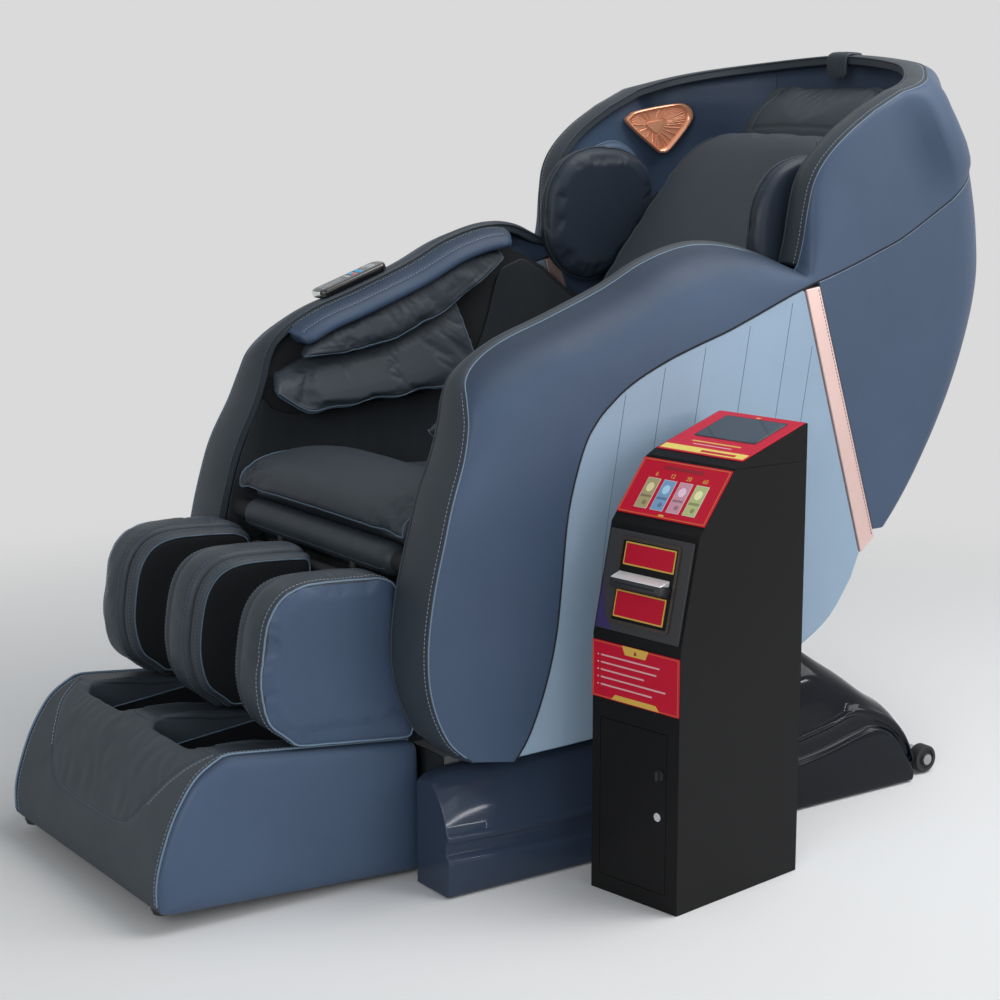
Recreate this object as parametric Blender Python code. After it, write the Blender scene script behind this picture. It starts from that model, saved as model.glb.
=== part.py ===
"""Coin-operated massage chair with its free-standing payment kiosk.

The door of the kiosk is drawn shut but unlocked, and the legrest down.

Metres, +Z up, -Y is the front (footrest side), +X the sitter's left.
The origin is the centre of the chair's base on the floor.
"""
import math

import bmesh
import bpy
from mathutils import Matrix, Vector

# ---------------------------------------------------------------- driving sizes
FIT = 0.0003             # gap between pieces that touch
RUN = 0.0004             # radial clearance of a turning fit
SEAM_GAP = 0.003         # open groove between the upper shell and the lower skins
HALF_WIDTH = 0.385       # outer shells, from the middle plane
SKIN_DEPTH = 0.0647      # how deep the outer skins are, down to the side frame
FRAME_THICK = 0.035      # side frame board
EDGE_THICK = 0.014       # leather bands on the arm edge and on the hood rim
BAND_WIDE = 0.100        # arm band at the front
BAND_NARROW = 0.020      # arm band along the crest
RIM_WIDE = 0.044         # hood rim band
RIM_SIDE = 0.306         # where the arm band ends at the notch, from the middle plane
WING_THICK = 0.045       # hood wall
BACK_THICK = 0.030       # rear cover
HOOD_BULGE = 0.010       # crown of the hood wall between seam and rim
LIP_IN = 0.0012          # thickness of the shell's lip outside a band
JOINT_PHI = 60.0         # plan angle of the joints between the rear pieces, degrees

TILT_Y, TILT_Z = 0.200, 0.270        # axis the capsule tilts on
TILT_PIN = 0.012                     # pin radius
LEG_Y, LEG_Z = -0.485, 0.485         # axis of the legrest
LEG_PIN = 0.008
LEG_CLEAR = 0.011                    # legrest to arm, each side

BASE_FRONT, BASE_REAR = -0.440, 0.440    # steel base frame
TUBE = 0.040                             # height and width of its tubes
RAIL_X = 0.215                           # middle of the floor rails
TOWER_THICK = 0.016                      # tilt towers
COVER_WIDE = 0.089                       # base skirt, across
WHEEL_R, WHEEL_WIDE = 0.024, 0.022
WHEEL_Y, WHEEL_X = 0.515, 0.352
AXLE_R = 0.0055

PAN_TOP = 0.430          # seat pan
PAN_THICK = 0.022
BACK_LEAN = 51.8         # back line from the floor, degrees
BACK_FOOT = (0.130, 0.620)           # a point of the back line (y, z)
BACK_HALF = 0.205        # back cushion half width
RAIL_R = 0.011           # massage rail tubes
RAIL_HALF = 0.170
RAIL_DROP = 0.045        # rails behind the back line
CARRIAGE_LONG = 0.110
KNEAD_R = 0.036          # kneading discs
KNEAD_THICK = 0.030
KNEAD_HALF = 0.075

FIN_WIDE = 0.102         # outer calf fins with their inner airbag
MID_WIDE = 0.122         # middle calf fin with its two airbags
ROLL_R = 0.027           # knee roll on the legrest axis
FOOT_SIDE = 0.015        # side cheeks of the foot unit
LEG_GAP = 0.004          # calf fins to foot unit
WELL_FLOOR = 0.070       # foot wells, bottom

KIOSK_X, KIOSK_Y = 0.455, -0.290     # front left floor corner
KIOSK_TURN = 9.0                     # degrees about Z
KIOSK_W, KIOSK_D = 0.172, 0.275
DOOR_X, DOOR_W = 0.017, 0.131
DOOR_Z, DOOR_H = 0.026, 0.243
DOOR_DEEP = 0.012
HINGE_IN = 0.0015        # hinge line of the door from its edge
SHEET = 0.0015
PLATE = 0.002            # panels fixed on the kiosk
POCKET = 0.200           # depth of the cash compartment

REMOTE = (0.042, 0.142, 0.014)       # width, length, thickness

frame_out = HALF_WIDTH - SKIN_DEPTH - FIT
frame_in = frame_out - FRAME_THICK
inner_x = frame_in - FIT             # where pieces between the side frames end
leg_half = frame_in - LEG_CLEAR

# ---------------------------------------------------------------- outlines, (y, z)
# arm edge: distance in from HALF_WIDTH, y, z; then y, z of the seam opposite
ARM_EDGE = [
    (0.000, -0.458, 0.206, -0.382, 0.193),
    (0.000, -0.500, 0.245, -0.355, 0.230),
    (0.000, -0.528, 0.310, -0.327, 0.296),
    (0.000, -0.535, 0.380, -0.307, 0.371),
    (0.001, -0.525, 0.460, -0.297, 0.450),
    (0.003, -0.503, 0.545, -0.288, 0.540),
    (0.008, -0.486, 0.597, -0.279, 0.587),
    (0.019, -0.459, 0.656, -0.264, 0.637),
    (0.030, -0.444, 0.702, -0.250, 0.670),
    (0.046, -0.436, 0.736, -0.237, 0.689),
    (0.072, -0.421, 0.765, -0.222, 0.706),
    (0.088, -0.388, 0.791, -0.205, 0.720),
    (0.093, -0.338, 0.816, -0.184, 0.736),
    (0.095, -0.260, 0.842, -0.150, 0.755),
    (0.095, -0.155, 0.881, -0.095, 0.778),
    (0.095, -0.078, 0.917, -0.040, 0.796),
    (0.093, -0.010, 0.937, 0.020, 0.814),
    (0.087, 0.045, 0.941, 0.070, 0.832),
    (0.073, 0.100, 0.932, 0.115, 0.849),
    (0.053, 0.150, 0.913, 0.155, 0.864),
    (0.037, 0.186, 0.896, 0.188, 0.875),
]
# front edge and top of the hood wing, in the same order
WING_EDGE = [
    (0.033, 0.190, 0.906, 0.200, 0.879),
    (0.026, 0.194, 0.945, 0.222, 0.885),
    (0.021, 0.197, 0.990, 0.252, 0.894),
    (0.018, 0.206, 1.035, 0.290, 0.906),
    (0.016, 0.229, 1.072, 0.335, 0.922),
    (0.014, 0.272, 1.110, 0.385, 0.940),
    (0.015, 0.330, 1.146, 0.440, 0.968),
]
RIM_IN, RIM_Y, RIM_B = 0.017, 0.395, 0.250    # crown ellipse: inset, centre, depth
RIM_LOW, RIM_HIGH = 1.176, 1.236
SEAM_LOW, SEAM_HIGH = 1.000, 1.085            # seam where it turns, and at the back
# rear of the hull: height, y on the middle plane, depth of the plan ellipse
REAR = [
    (0.300, 0.210, 0.040), (0.367, 0.316, 0.050), (0.462, 0.432, 0.070),
    (0.547, 0.523, 0.100), (0.654, 0.615, 0.140), (0.755, 0.683, 0.180),
    (0.857, 0.719, 0.200), (0.943, 0.719, 0.208), (1.011, 0.708, 0.212),
    (1.062, 0.694, 0.214), (1.100, 0.680, 0.216),
]
JOINT_LEVELS = [0.462, 0.547, 0.654, 0.755, 0.857, 0.943, 1.011]    # of the rear joints
STRIP_TOP_Z, STRIP_BOTTOM_Z = 0.869, 0.440
STRIP_FRONT = (0.181, 0.310)      # y at the top, run back per metre down
STRIP_REAR = (0.211, 0.326)
PANEL_BOTTOM = [
    (0.301, 0.385), (0.255, 0.325), (0.190, 0.284), (0.110, 0.248),
    (0.020, 0.224), (-0.100, 0.208), (-0.240, 0.201), (-0.368, 0.198),
]
FRAME_TOP = [(0.150, 0.860), (0.205, 0.815), (0.262, 0.790), (0.312, 0.822), (0.400, 0.935),
             (0.440, 0.985)]
FRAME_BOTTOM = [(0.262, 0.350), (0.190, 0.290), (0.110, 0.252), (0.020, 0.228), (-0.100, 0.213),
                (-0.240, 0.206), (-0.400, 0.206)]

FLAP_UPPER = [(-0.385, 0.735), (-0.330, 0.736), (-0.285, 0.739), (-0.227, 0.747),
              (-0.129, 0.780), (-0.025, 0.843), (0.028, 0.883)]
FLAP_LOWER = [(-0.436, 0.680), (-0.402, 0.656), (-0.358, 0.640), (-0.260, 0.648),
              (-0.150, 0.658), (-0.075, 0.667), (-0.030, 0.690)]
FLAP_LOWER_TOP = [(-0.420, 0.708), (-0.378, 0.726), (-0.330, 0.742), (-0.285, 0.747),
                  (-0.227, 0.755), (-0.129, 0.788), (-0.060, 0.826)]
APRON = [(-0.284, 0.570), (-0.330, 0.581), (-0.380, 0.587), (-0.430, 0.585),
         (-0.470, 0.574), (-0.493, 0.552), (-0.498, 0.526)]
PAD_INNER = [(0.152, 0.900), (0.148, 0.960), (0.160, 1.015), (0.195, 1.056), (0.255, 1.074),
             (0.325, 1.068), (0.378, 1.036), (0.392, 0.985), (0.362, 0.915), (0.300, 0.850),
             (0.245, 0.832), (0.190, 0.850)]
PAD_OUTER = [(0.222, 0.930), (0.220, 0.970), (0.228, 1.012), (0.250, 1.045), (0.290, 1.072),
             (0.340, 1.082), (0.385, 1.055), (0.398, 1.005), (0.385, 0.965), (0.340, 0.944),
             (0.285, 0.925), (0.240, 0.914)]
CALF_FRONT = [(-0.706, 0.256), (-0.736, 0.284), (-0.749, 0.338), (-0.744, 0.397),
              (-0.732, 0.441), (-0.708, 0.471), (-0.670, 0.485), (-0.610, 0.485),
              (-0.545, 0.480), (-0.518, 0.470)]
FOOT_FRONT = [(-0.914, 0.046), (-0.912, 0.085), (-0.899, 0.130), (-0.878, 0.178),
              (-0.846, 0.222), (-0.801, 0.248)]
FOOT_REAR = [(-0.489, 0.216), (-0.477, 0.205), (-0.470, 0.024)]
KIOSK_SIDE = [(0.0, 0.0), (0.0, 0.395), (0.037, 0.559), (0.111, 0.648), (0.275, 0.640),
              (0.275, 0.0)]
HEAD_SIDE = [(0.113, 0.6485), (0.275, 0.6405), (0.275, 0.697), (0.128, 0.6555)]
SPEAKER = [(-0.066, 0.012), (-0.052, 0.030), (0.030, 0.044), (0.066, 0.040), (0.074, 0.016),
           (0.022, -0.046), (0.002, -0.048)]

# ---------------------------------------------------------------- colours
SLATE = (0.075, 0.115, 0.195)
CHARCOAL = (0.045, 0.050, 0.058)
MIST = (0.21, 0.31, 0.41)
NAVY = (0.008, 0.013, 0.026)
BLACK = (0.012, 0.012, 0.013)
ROSE = (0.60, 0.38, 0.33)
COPPER = (0.45, 0.15, 0.07)
STEEL = (0.35, 0.35, 0.36)
RED = (0.50, 0.012, 0.03)


# ---------------------------------------------------------------- tools
def clear_scene():
    for item in list(bpy.data.objects):
        bpy.data.objects.remove(item, do_unlink=True)


def material(name, colour, roughness, metallic=0.0):
    made = bpy.data.materials.new(name)
    made.use_nodes = True
    shader = made.node_tree.nodes["Principled BSDF"]
    shader.inputs["Base Color"].default_value = (*colour, 1.0)
    shader.inputs["Roughness"].default_value = roughness
    shader.inputs["Metallic"].default_value = metallic
    made.diffuse_color = (*colour, 1.0)
    return made


def datum(name, location, turn=0.0, parent=None):
    """Empty that carries the pieces of one joint or one unit."""
    empty = bpy.data.objects.new(name, None)
    empty.location = location
    empty.rotation_euler = (0.0, 0.0, math.radians(turn))
    empty.parent = parent
    bpy.context.scene.collection.objects.link(empty)
    return empty


def place(name, bm, look, parent=None, smooth=40.0, at_parent=True):
    """Turns a bmesh drawn in chair coordinates into an object under its empty."""
    if parent is not None and at_parent:
        bmesh.ops.translate(bm, verts=bm.verts, vec=-parent.matrix_basis.translation)
    bmesh.ops.recalc_face_normals(bm, faces=bm.faces)
    if bm.calc_volume(signed=True) < 0.0:
        bmesh.ops.reverse_faces(bm, faces=bm.faces)
    mesh = bpy.data.meshes.new(name)
    bm.to_mesh(mesh)
    bm.free()
    mesh.materials.append(look)
    mesh.shade_smooth()
    mesh.set_sharp_from_angle(angle=math.radians(smooth))
    made = bpy.data.objects.new(name, mesh)
    made.parent = parent
    bpy.context.scene.collection.objects.link(made)
    return made


def spline(points, per_span=2):
    """Catmull-Rom curve through points of any dimension."""
    ends = [points[0]] + list(points) + [points[-1]]
    out = []
    for index in range(1, len(ends) - 2):
        p0, p1, p2, p3 = ends[index - 1:index + 3]
        for step in range(per_span):
            t = step / per_span
            out.append(tuple(
                0.5 * (2 * b + (c - a) * t + (2 * a - 5 * b + 4 * c - d) * t * t
                       + (3 * b - a - 3 * c + d) * t ** 3)
                for a, b, c, d in zip(p0, p1, p2, p3)))
    out.append(tuple(points[-1]))
    return out


def ring_spline(points, per_span=2):
    """Closed Catmull-Rom curve."""
    loop = [points[-1]] + list(points) + [points[0], points[1]]
    return spline(loop, per_span)[per_span:-per_span - 1]


def resample(points, count):
    """Points spaced evenly along a polyline."""
    runs = [0.0]
    for a, b in zip(points, points[1:]):
        runs.append(runs[-1] + math.dist(a, b))
    out = []
    for step in range(count):
        goal = runs[-1] * step / (count - 1)
        k = next(i for i in range(1, len(runs)) if runs[i] >= goal - 1e-9)
        share = (goal - runs[k - 1]) / (runs[k] - runs[k - 1])
        out.append(tuple(a + (b - a) * share for a, b in zip(points[k - 1], points[k])))
    return out


def offset(points, distance):
    """Open (y, z) curve moved to its left by a distance."""
    out = []
    for index, point in enumerate(points):
        a = points[max(index - 1, 0)]
        b = points[min(index + 1, len(points) - 1)]
        run = math.dist(a, b)
        out.append((point[0] - (b[1] - a[1]) / run * distance,
                    point[1] + (b[0] - a[0]) / run * distance))
    return out


def mix(a, b, share):
    return a + (b - a) * share


def table(rows, key):
    """Value of the smooth curve through rows of (key, values...) at a key."""
    for low, high in zip(rows, rows[1:]):
        if key <= high[0]:
            share = (key - low[0]) / (high[0] - low[0])
            return tuple(mix(a, b, share) for a, b in zip(low[1:], high[1:]))
    return rows[-1][1:]


def skin(name, outer, inner, look, parent=None, side=1, smooth=40.0):
    """Closed body between two grids of points, each a list of rows."""
    bm = bmesh.new()
    rows, cols = len(outer), len(outer[0])
    grids = []
    for grid in (outer, inner):
        grids.append([[bm.verts.new((p[0] * side, p[1], p[2])) for p in row] for row in grid])
    top, low = grids
    for i in range(rows - 1):
        for j in range(cols - 1):
            for g in (top, low):
                bm.faces.new((g[i][j], g[i + 1][j], g[i + 1][j + 1], g[i][j + 1]))
    for i in range(rows - 1):
        for j in (0, cols - 1):
            bm.faces.new((top[i][j], top[i + 1][j], low[i + 1][j], low[i][j]))
    for j in range(cols - 1):
        for i in (0, rows - 1):
            bm.faces.new((top[i][j], top[i][j + 1], low[i][j + 1], low[i][j]))
    return place(name, bm, look, parent, smooth)


def prism(name, outline, low, high, look, parent=None, side=1, at_parent=True):
    """Body with a (y, z) outline, from x = low to x = high."""
    bm = bmesh.new()
    base = bm.faces.new([bm.verts.new((low * side, y, z)) for y, z in outline])
    raised = bmesh.ops.extrude_face_region(bm, geom=[base])
    corners = [g for g in raised["geom"] if isinstance(g, bmesh.types.BMVert)]
    bmesh.ops.translate(bm, verts=corners, vec=((high - low) * side, 0.0, 0.0))
    return place(name, bm, look, parent, 40.0, at_parent)


def pillow(name, outline, low, high, look, parent=None, side=1, ease=0.10):
    """Soft pad: the outline swells from both faces to the middle."""
    cy = sum(p[0] for p in outline) / len(outline)
    cz = sum(p[1] for p in outline) / len(outline)
    bm = bmesh.new()
    rings = []
    for share, size in ((0.0, 1 - ease), (0.22, 1 - ease * 0.25), (0.5, 1.0),
                        (0.78, 1 - ease * 0.25), (1.0, 1 - ease)):
        x = mix(low, high, share) * side
        rings.append([bm.verts.new((x, cy + (y - cy) * size, cz + (z - cz) * size))
                      for y, z in outline])
    for a, b in zip(rings, rings[1:]):
        for k in range(len(outline)):
            n = (k + 1) % len(outline)
            bm.faces.new((a[k], a[n], b[n], b[k]))
    bm.faces.new(rings[0])
    bm.faces.new(rings[-1])
    return place(name, bm, look, parent, 50.0)


def block(name, low, high, look, parent=None, bevel=0.0, segments=2, at_parent=True):
    """Box between two corners, with its edges rounded by a modifier."""
    bm = bmesh.new()
    bmesh.ops.create_cube(bm, size=1.0)
    size = [b - a for a, b in zip(low, high)]
    middle = [(a + b) / 2 for a, b in zip(low, high)]
    bmesh.ops.scale(bm, verts=bm.verts, vec=size)
    bmesh.ops.translate(bm, verts=bm.verts, vec=middle)
    made = place(name, bm, look, parent, 40.0, at_parent)
    if bevel:
        rounded(made, bevel, segments)
    return made


def rod(name, start, end, radius, look, parent=None, sides=16, at_parent=True):
    """Round bar between two points."""
    start, end = Vector(start), Vector(end)
    bm = bmesh.new()
    bmesh.ops.create_cone(bm, cap_ends=True, segments=sides, radius1=radius, radius2=radius,
                          depth=(end - start).length)
    turn = (end - start).to_track_quat("Z", "Y").to_matrix().to_4x4()
    bmesh.ops.transform(bm, matrix=Matrix.Translation((start + end) / 2) @ turn, verts=bm.verts)
    return place(name, bm, look, parent, 40.0, at_parent)


def rounded(target, width, segments=2, angle=35.0):
    bevel = target.modifiers.new("edges", "BEVEL")
    bevel.width = width
    bevel.segments = segments
    bevel.limit_method = "ANGLE"
    bevel.angle_limit = math.radians(angle)
    return target


def combine(target, tools, operation="UNION"):
    """Joins helper bodies to the target, or cuts them from it, and removes them."""
    for tool in tools:
        tool.parent = target.parent
        change = target.modifiers.new(operation.lower(), "BOOLEAN")
        change.operation = operation
        change.solver = "EXACT"
        change.object = tool
    bpy.context.view_layer.update()
    graph = bpy.context.evaluated_depsgraph_get()
    mesh = bpy.data.meshes.new_from_object(target.evaluated_get(graph))
    target.modifiers.clear()
    bm = bmesh.new()
    bm.from_mesh(mesh)
    bmesh.ops.remove_doubles(bm, verts=bm.verts, dist=0.00002)
    bm.to_mesh(mesh)
    bm.free()
    mesh.shade_smooth()
    mesh.set_sharp_from_angle(angle=math.radians(40.0))
    target.data = mesh
    for tool in tools:
        bpy.data.objects.remove(tool, do_unlink=True)
    return target


SIDES = ((1, "left"), (-1, "right"))


# ---------------------------------------------------------------- hull of the capsule
def hull(phi, z, inset=0.0):
    """Point of the wrapped rear: phi 0 at the left flank, 90 on the middle plane."""
    rear_y, depth = table(REAR, z)
    turn = math.radians(phi)
    return Vector(((HALF_WIDTH - inset) * math.cos(turn),
                   rear_y - depth + (depth - inset) * math.sin(turn), z))


def seam_height(phi):
    share = min(phi, 180.0 - phi) / 90.0
    return mix(SEAM_LOW, SEAM_HIGH, 1.0 - (1.0 - share) ** 2.2)


def rim_point(phi):
    share = min(phi, 180.0 - phi) / 90.0
    turn = math.radians(phi)
    return Vector(((HALF_WIDTH - RIM_IN) * math.cos(turn), RIM_Y + RIM_B * math.sin(turn),
                   mix(RIM_LOW, RIM_HIGH, 1.0 - (1.0 - share) ** 1.4)))


def inward(phi):
    """Level direction into the hood."""
    turn = math.radians(phi)
    return -Vector((math.cos(turn) / HALF_WIDTH, math.sin(turn) / RIM_B, 0.0)).normalized()


def stations(rows):
    """Edge point, seam point and inward direction along one flank."""
    out = []
    for dx, y, z, seam_y, seam_z in spline(rows, 2):
        edge = Vector((HALF_WIDTH - dx, y, z))
        out.append((edge, Vector((HALF_WIDTH, seam_y, seam_z)), Vector((-1.0, 0.0, 0.0))))
    return out


def corner_stations(first, last, step=10.0):
    count = round((last - first) / step)
    out = []
    for k in range(count + 1):
        phi = mix(first, last, k / count)
        out.append((rim_point(phi), hull(phi, seam_height(phi)), inward(phi)))
    return out


arm_line = stations(ARM_EDGE)
wing_line = stations(WING_EDGE)
hood_turn = corner_stations(0.0, JOINT_PHI)


def edge_normals(line):
    """Direction from the edge into the shell, square to the edge and to inward."""
    out = []
    for index, (edge, seam, into) in enumerate(line):
        along = (line[min(index + 1, len(line) - 1)][0] - line[max(index - 1, 0)][0]).normalized()
        down = seam - edge
        down -= along * down.dot(along)
        down -= into * down.dot(into)
        out.append(down.normalized())
    return out


def edge_depth(edge, seam, normal):
    """Thickness of the leather band, less where the shell is narrow."""
    return min(EDGE_THICK, 0.45 * (seam - edge).dot(normal))


def shell_rows(line, normals, thickness, steps=5, most=1.0):
    outer, inner = [], []
    for (edge, seam, into), normal in zip(line, normals):
        start = seam + (edge - seam).normalized() * SEAM_GAP / 2
        side_run = (edge - start).dot(into)
        row = []
        for j in range(steps + 1):
            v = j / steps
            turned = 1.0 - math.sqrt(max(1.0 - v ** 3, 0.0))
            point = start.lerp(edge, v) + into * side_run * (turned - v)
            row.append(point - into * HOOD_BULGE * 4 * v * (1 - v) * (into.y != 0.0))
        outer.append(row)
        under = edge + normal * edge_depth(edge, seam, normal)
        lip = under + into * LIP_IN
        deep = under + into * min(thickness - (edge - seam).dot(into), most)
        foot = start + into * (thickness - (start - seam).dot(into))
        inner.append([foot.lerp(deep, j / (steps - 1)) for j in range(steps)] + [lip])
    return outer, inner


def side_shell(tag, side, look, parent):
    """Upper shell of one flank: arm, hood wing and the turn to the back in one piece."""
    line = arm_line + wing_line + hood_turn
    normals = edge_normals(arm_line) + edge_normals(wing_line + hood_turn)
    split = len(arm_line)
    arm = shell_rows(line[:split], normals[:split], SKIN_DEPTH)
    hood = shell_rows(line[split:], normals[split:], WING_THICK)
    skin("side_shell_" + tag, arm[0] + hood[0], arm[1] + hood[1], look, parent, side)


def hood_back(look, parent):
    line = corner_stations(JOINT_PHI, 180.0 - JOINT_PHI)
    outer, inner = shell_rows(line, edge_normals(line), WING_THICK, 5, -0.0015)
    gap = 0.0012
    for grid in (outer, inner):
        for row, shift in ((grid[0], -gap), (grid[-1], gap)):
            for index, point in enumerate(row):
                row[index] = point + Vector((shift, 0.0, 0.0))
    skin("hood_back", outer, inner, look, parent)


def band_rows(line, normals, widths, swell, steps=4):
    """Leather band beside an edge: follows it, and is crowned across."""
    outer, inner = [], []
    for (edge, seam, into), normal, width in zip(line, normals, widths):
        thick = edge_depth(edge, seam, normal) - 2 * FIT
        row = []
        for j in range(steps + 1):
            v = j / steps
            row.append(edge + into * (2 * FIT + width * v) - normal * swell * math.sin(math.pi * v))
        outer.append(row)
        inner.append([edge + into * (2 * FIT + mix(LIP_IN, width, j / steps)) + normal * thick
                      for j in range(steps + 1)])
    return outer, inner


def arm_widths():
    """Width of the arm band: down to the frame in front, narrow on the crest."""
    crest = HALF_WIDTH - 0.095 - BAND_NARROW
    out = []
    for edge, seam, into in arm_line:
        share = min(max((edge.z - 0.55) / 0.22, 0.0), 1.0)
        within = mix(frame_in, crest, share)
        if edge.y > 0.03:
            within = mix(crest, RIM_SIDE, min((edge.y - 0.03) / 0.10, 1.0))
        out.append(edge.x - within - 2 * FIT)
    return out


def arm_band(tag, side, look, parent):
    """Charcoal band over the arm's front edge and along its crest."""
    outer, inner = band_rows(arm_line, edge_normals(arm_line), arm_widths(), 0.005)
    skin("arm_band_" + tag, outer, inner, look, parent, side)


def hood_rim(look, parent):
    """Band on the hood's rim, from one notch round the crown to the other."""
    half = wing_line + corner_stations(0.0, 90.0)
    normals = edge_normals(half)
    outer, inner = band_rows(half, normals, [RIM_WIDE] * len(half), 0.004)
    for grid in (outer, inner):
        grid.extend([[Vector((-p.x, p.y, p.z)) for p in row] for row in reversed(grid[:-1])])
    skin("hood_rim", outer, inner, look, parent)


def side_frame(tag, side, look, parent):
    """Board inside each arm that carries skins, bands and pads."""
    edge = []
    for (point, seam, into), normal in zip(arm_line, edge_normals(arm_line)):
        depth = edge_depth(point, seam, normal) + 2 * FIT
        edge.append(((point + normal * depth).y, (point + normal * depth).z))
    rear = []
    for z in (0.990, 0.940, 0.857, 0.755, 0.654, 0.547, 0.462, 0.400):
        rear_y, depth = table(REAR, z)
        rear.append((rear_y - depth - 0.006, z))
    outline = edge[1:-7] + FRAME_TOP + rear + FRAME_BOTTOM
    prism("side_frame_" + tag, outline, frame_in, frame_out, look, parent, side)


def strip_y(edge, z):
    return edge[0] + (STRIP_TOP_Z - z) * edge[1]


def seam_curve():
    """Seam of the flank as (y, z), bottom to the turn of the hood."""
    line = [(seam.y, seam.z) for edge, seam, into in arm_line + wing_line]
    return line + [(hull(0.0, SEAM_LOW).y, SEAM_LOW)]


def seam_z(y):
    return table([(a, b) for a, b in seam_curve() if a > -0.30 or b > 0.5], y)[0]


def side_panel(tag, side, look, parent):
    """Pale lower panel of the flank, up to the trim strip."""
    below = offset(seam_curve(), -SEAM_GAP / 2)
    end_y = strip_y(STRIP_FRONT, STRIP_TOP_Z) - SEAM_GAP / 3
    top = [p for p in below if p[0] < end_y - 0.004 or p[1] < 0.5]
    strip = [(strip_y(STRIP_FRONT, z) - SEAM_GAP / 3, z) for z in (STRIP_TOP_Z - SEAM_GAP, 0.425)]
    made = prism("side_panel_" + tag, top + strip + PANEL_BOTTOM, frame_out + FIT,
                 HALF_WIDTH - 0.002, look, parent, side)
    rounded(made, 0.003, 2, 50.0)


def trim_strip(tag, side, look, parent):
    """Rose-gold strip that slants down the flank."""
    low, high = STRIP_BOTTOM_Z, STRIP_TOP_Z
    outline = [(strip_y(STRIP_FRONT, low - 0.014), low - 0.014), (strip_y(STRIP_FRONT, high), high),
               (strip_y(STRIP_REAR, high + 0.004), high + 0.004),
               (strip_y(STRIP_REAR, low + 0.008), low + 0.008)]
    made = prism("trim_strip_" + tag, outline, frame_out + FIT, HALF_WIDTH - 0.0005, look,
                 parent, side)
    rounded(made, 0.0015, 2, 50.0)


def rear_quarter(tag, side, look, parent):
    """Lower rear skin: behind the strip, below the seam and round to the back."""
    low = JOINT_LEVELS[0]
    columns = []
    flank = 4
    for k in range(flank):
        share = k / flank
        columns.append(("flank", share))
    for phi in (0.0, 12.0, 24.0, 36.0, 48.0, JOINT_PHI):
        columns.append(("turn", phi))
    outer, inner = [], []
    for kind, value in columns:
        if kind == "turn":
            top = seam_height(value) - SEAM_GAP / 2
        else:
            top = flank_top(value)
        depth = SKIN_DEPTH if kind == "flank" else mix(SKIN_DEPTH, BACK_THICK, value / JOINT_PHI)
        face, back = [], []
        for share in joint_shares():
            z = mix(low, top, share)
            if kind == "turn":
                face.append(hull(value, z, 0.001))
                back.append(hull(value, z, depth))
            else:
                y = flank_y(value, z)
                face.append(Vector((HALF_WIDTH - 0.001, y, z)))
                back.append(Vector((HALF_WIDTH - depth, y, z)))
        outer.append(face)
        inner.append(back)
    skin("rear_quarter_" + tag, outer, inner, look, parent, side)


def joint_shares():
    """Shares of the height at which the rear pieces are cut, the same on both sides of a joint."""
    top = seam_height(JOINT_PHI) - SEAM_GAP / 2
    return [(z - JOINT_LEVELS[0]) / (top - JOINT_LEVELS[0]) for z in JOINT_LEVELS] + [1.0]


def flank_y(share, z):
    rear_y, depth = table(REAR, z)
    return mix(strip_y(STRIP_REAR, z) + SEAM_GAP / 3, rear_y - depth, share)


def flank_top(share):
    """Height where a slanting column of the rear skin meets the seam."""
    low, high = 0.5, SEAM_LOW
    for _ in range(40):
        z = (low + high) / 2
        if z < seam_z(flank_y(share, z)) - SEAM_GAP / 2:
            low = z
        else:
            high = z
    return low


def back_cover(look, parent):
    """Centre rear cover, from under the seat up to the hood."""
    outer, inner = [], []
    for k in range(7):
        phi = mix(JOINT_PHI, 180.0 - JOINT_PHI, k / 6)
        top = seam_height(phi) - SEAM_GAP / 2
        shift = Vector((0.0012 if k == 6 else -0.0012 if k == 0 else 0.0, 0.0, 0.0))
        levels = [0.330, 0.367, 0.415]
        levels += [mix(JOINT_LEVELS[0], top, share) for share in joint_shares()]
        outer.append([hull(phi, z, 0.001) + shift for z in levels])
        inner.append([hull(phi, z, BACK_THICK) + shift for z in levels])
    skin("back_cover", outer, inner, look, parent)


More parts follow.
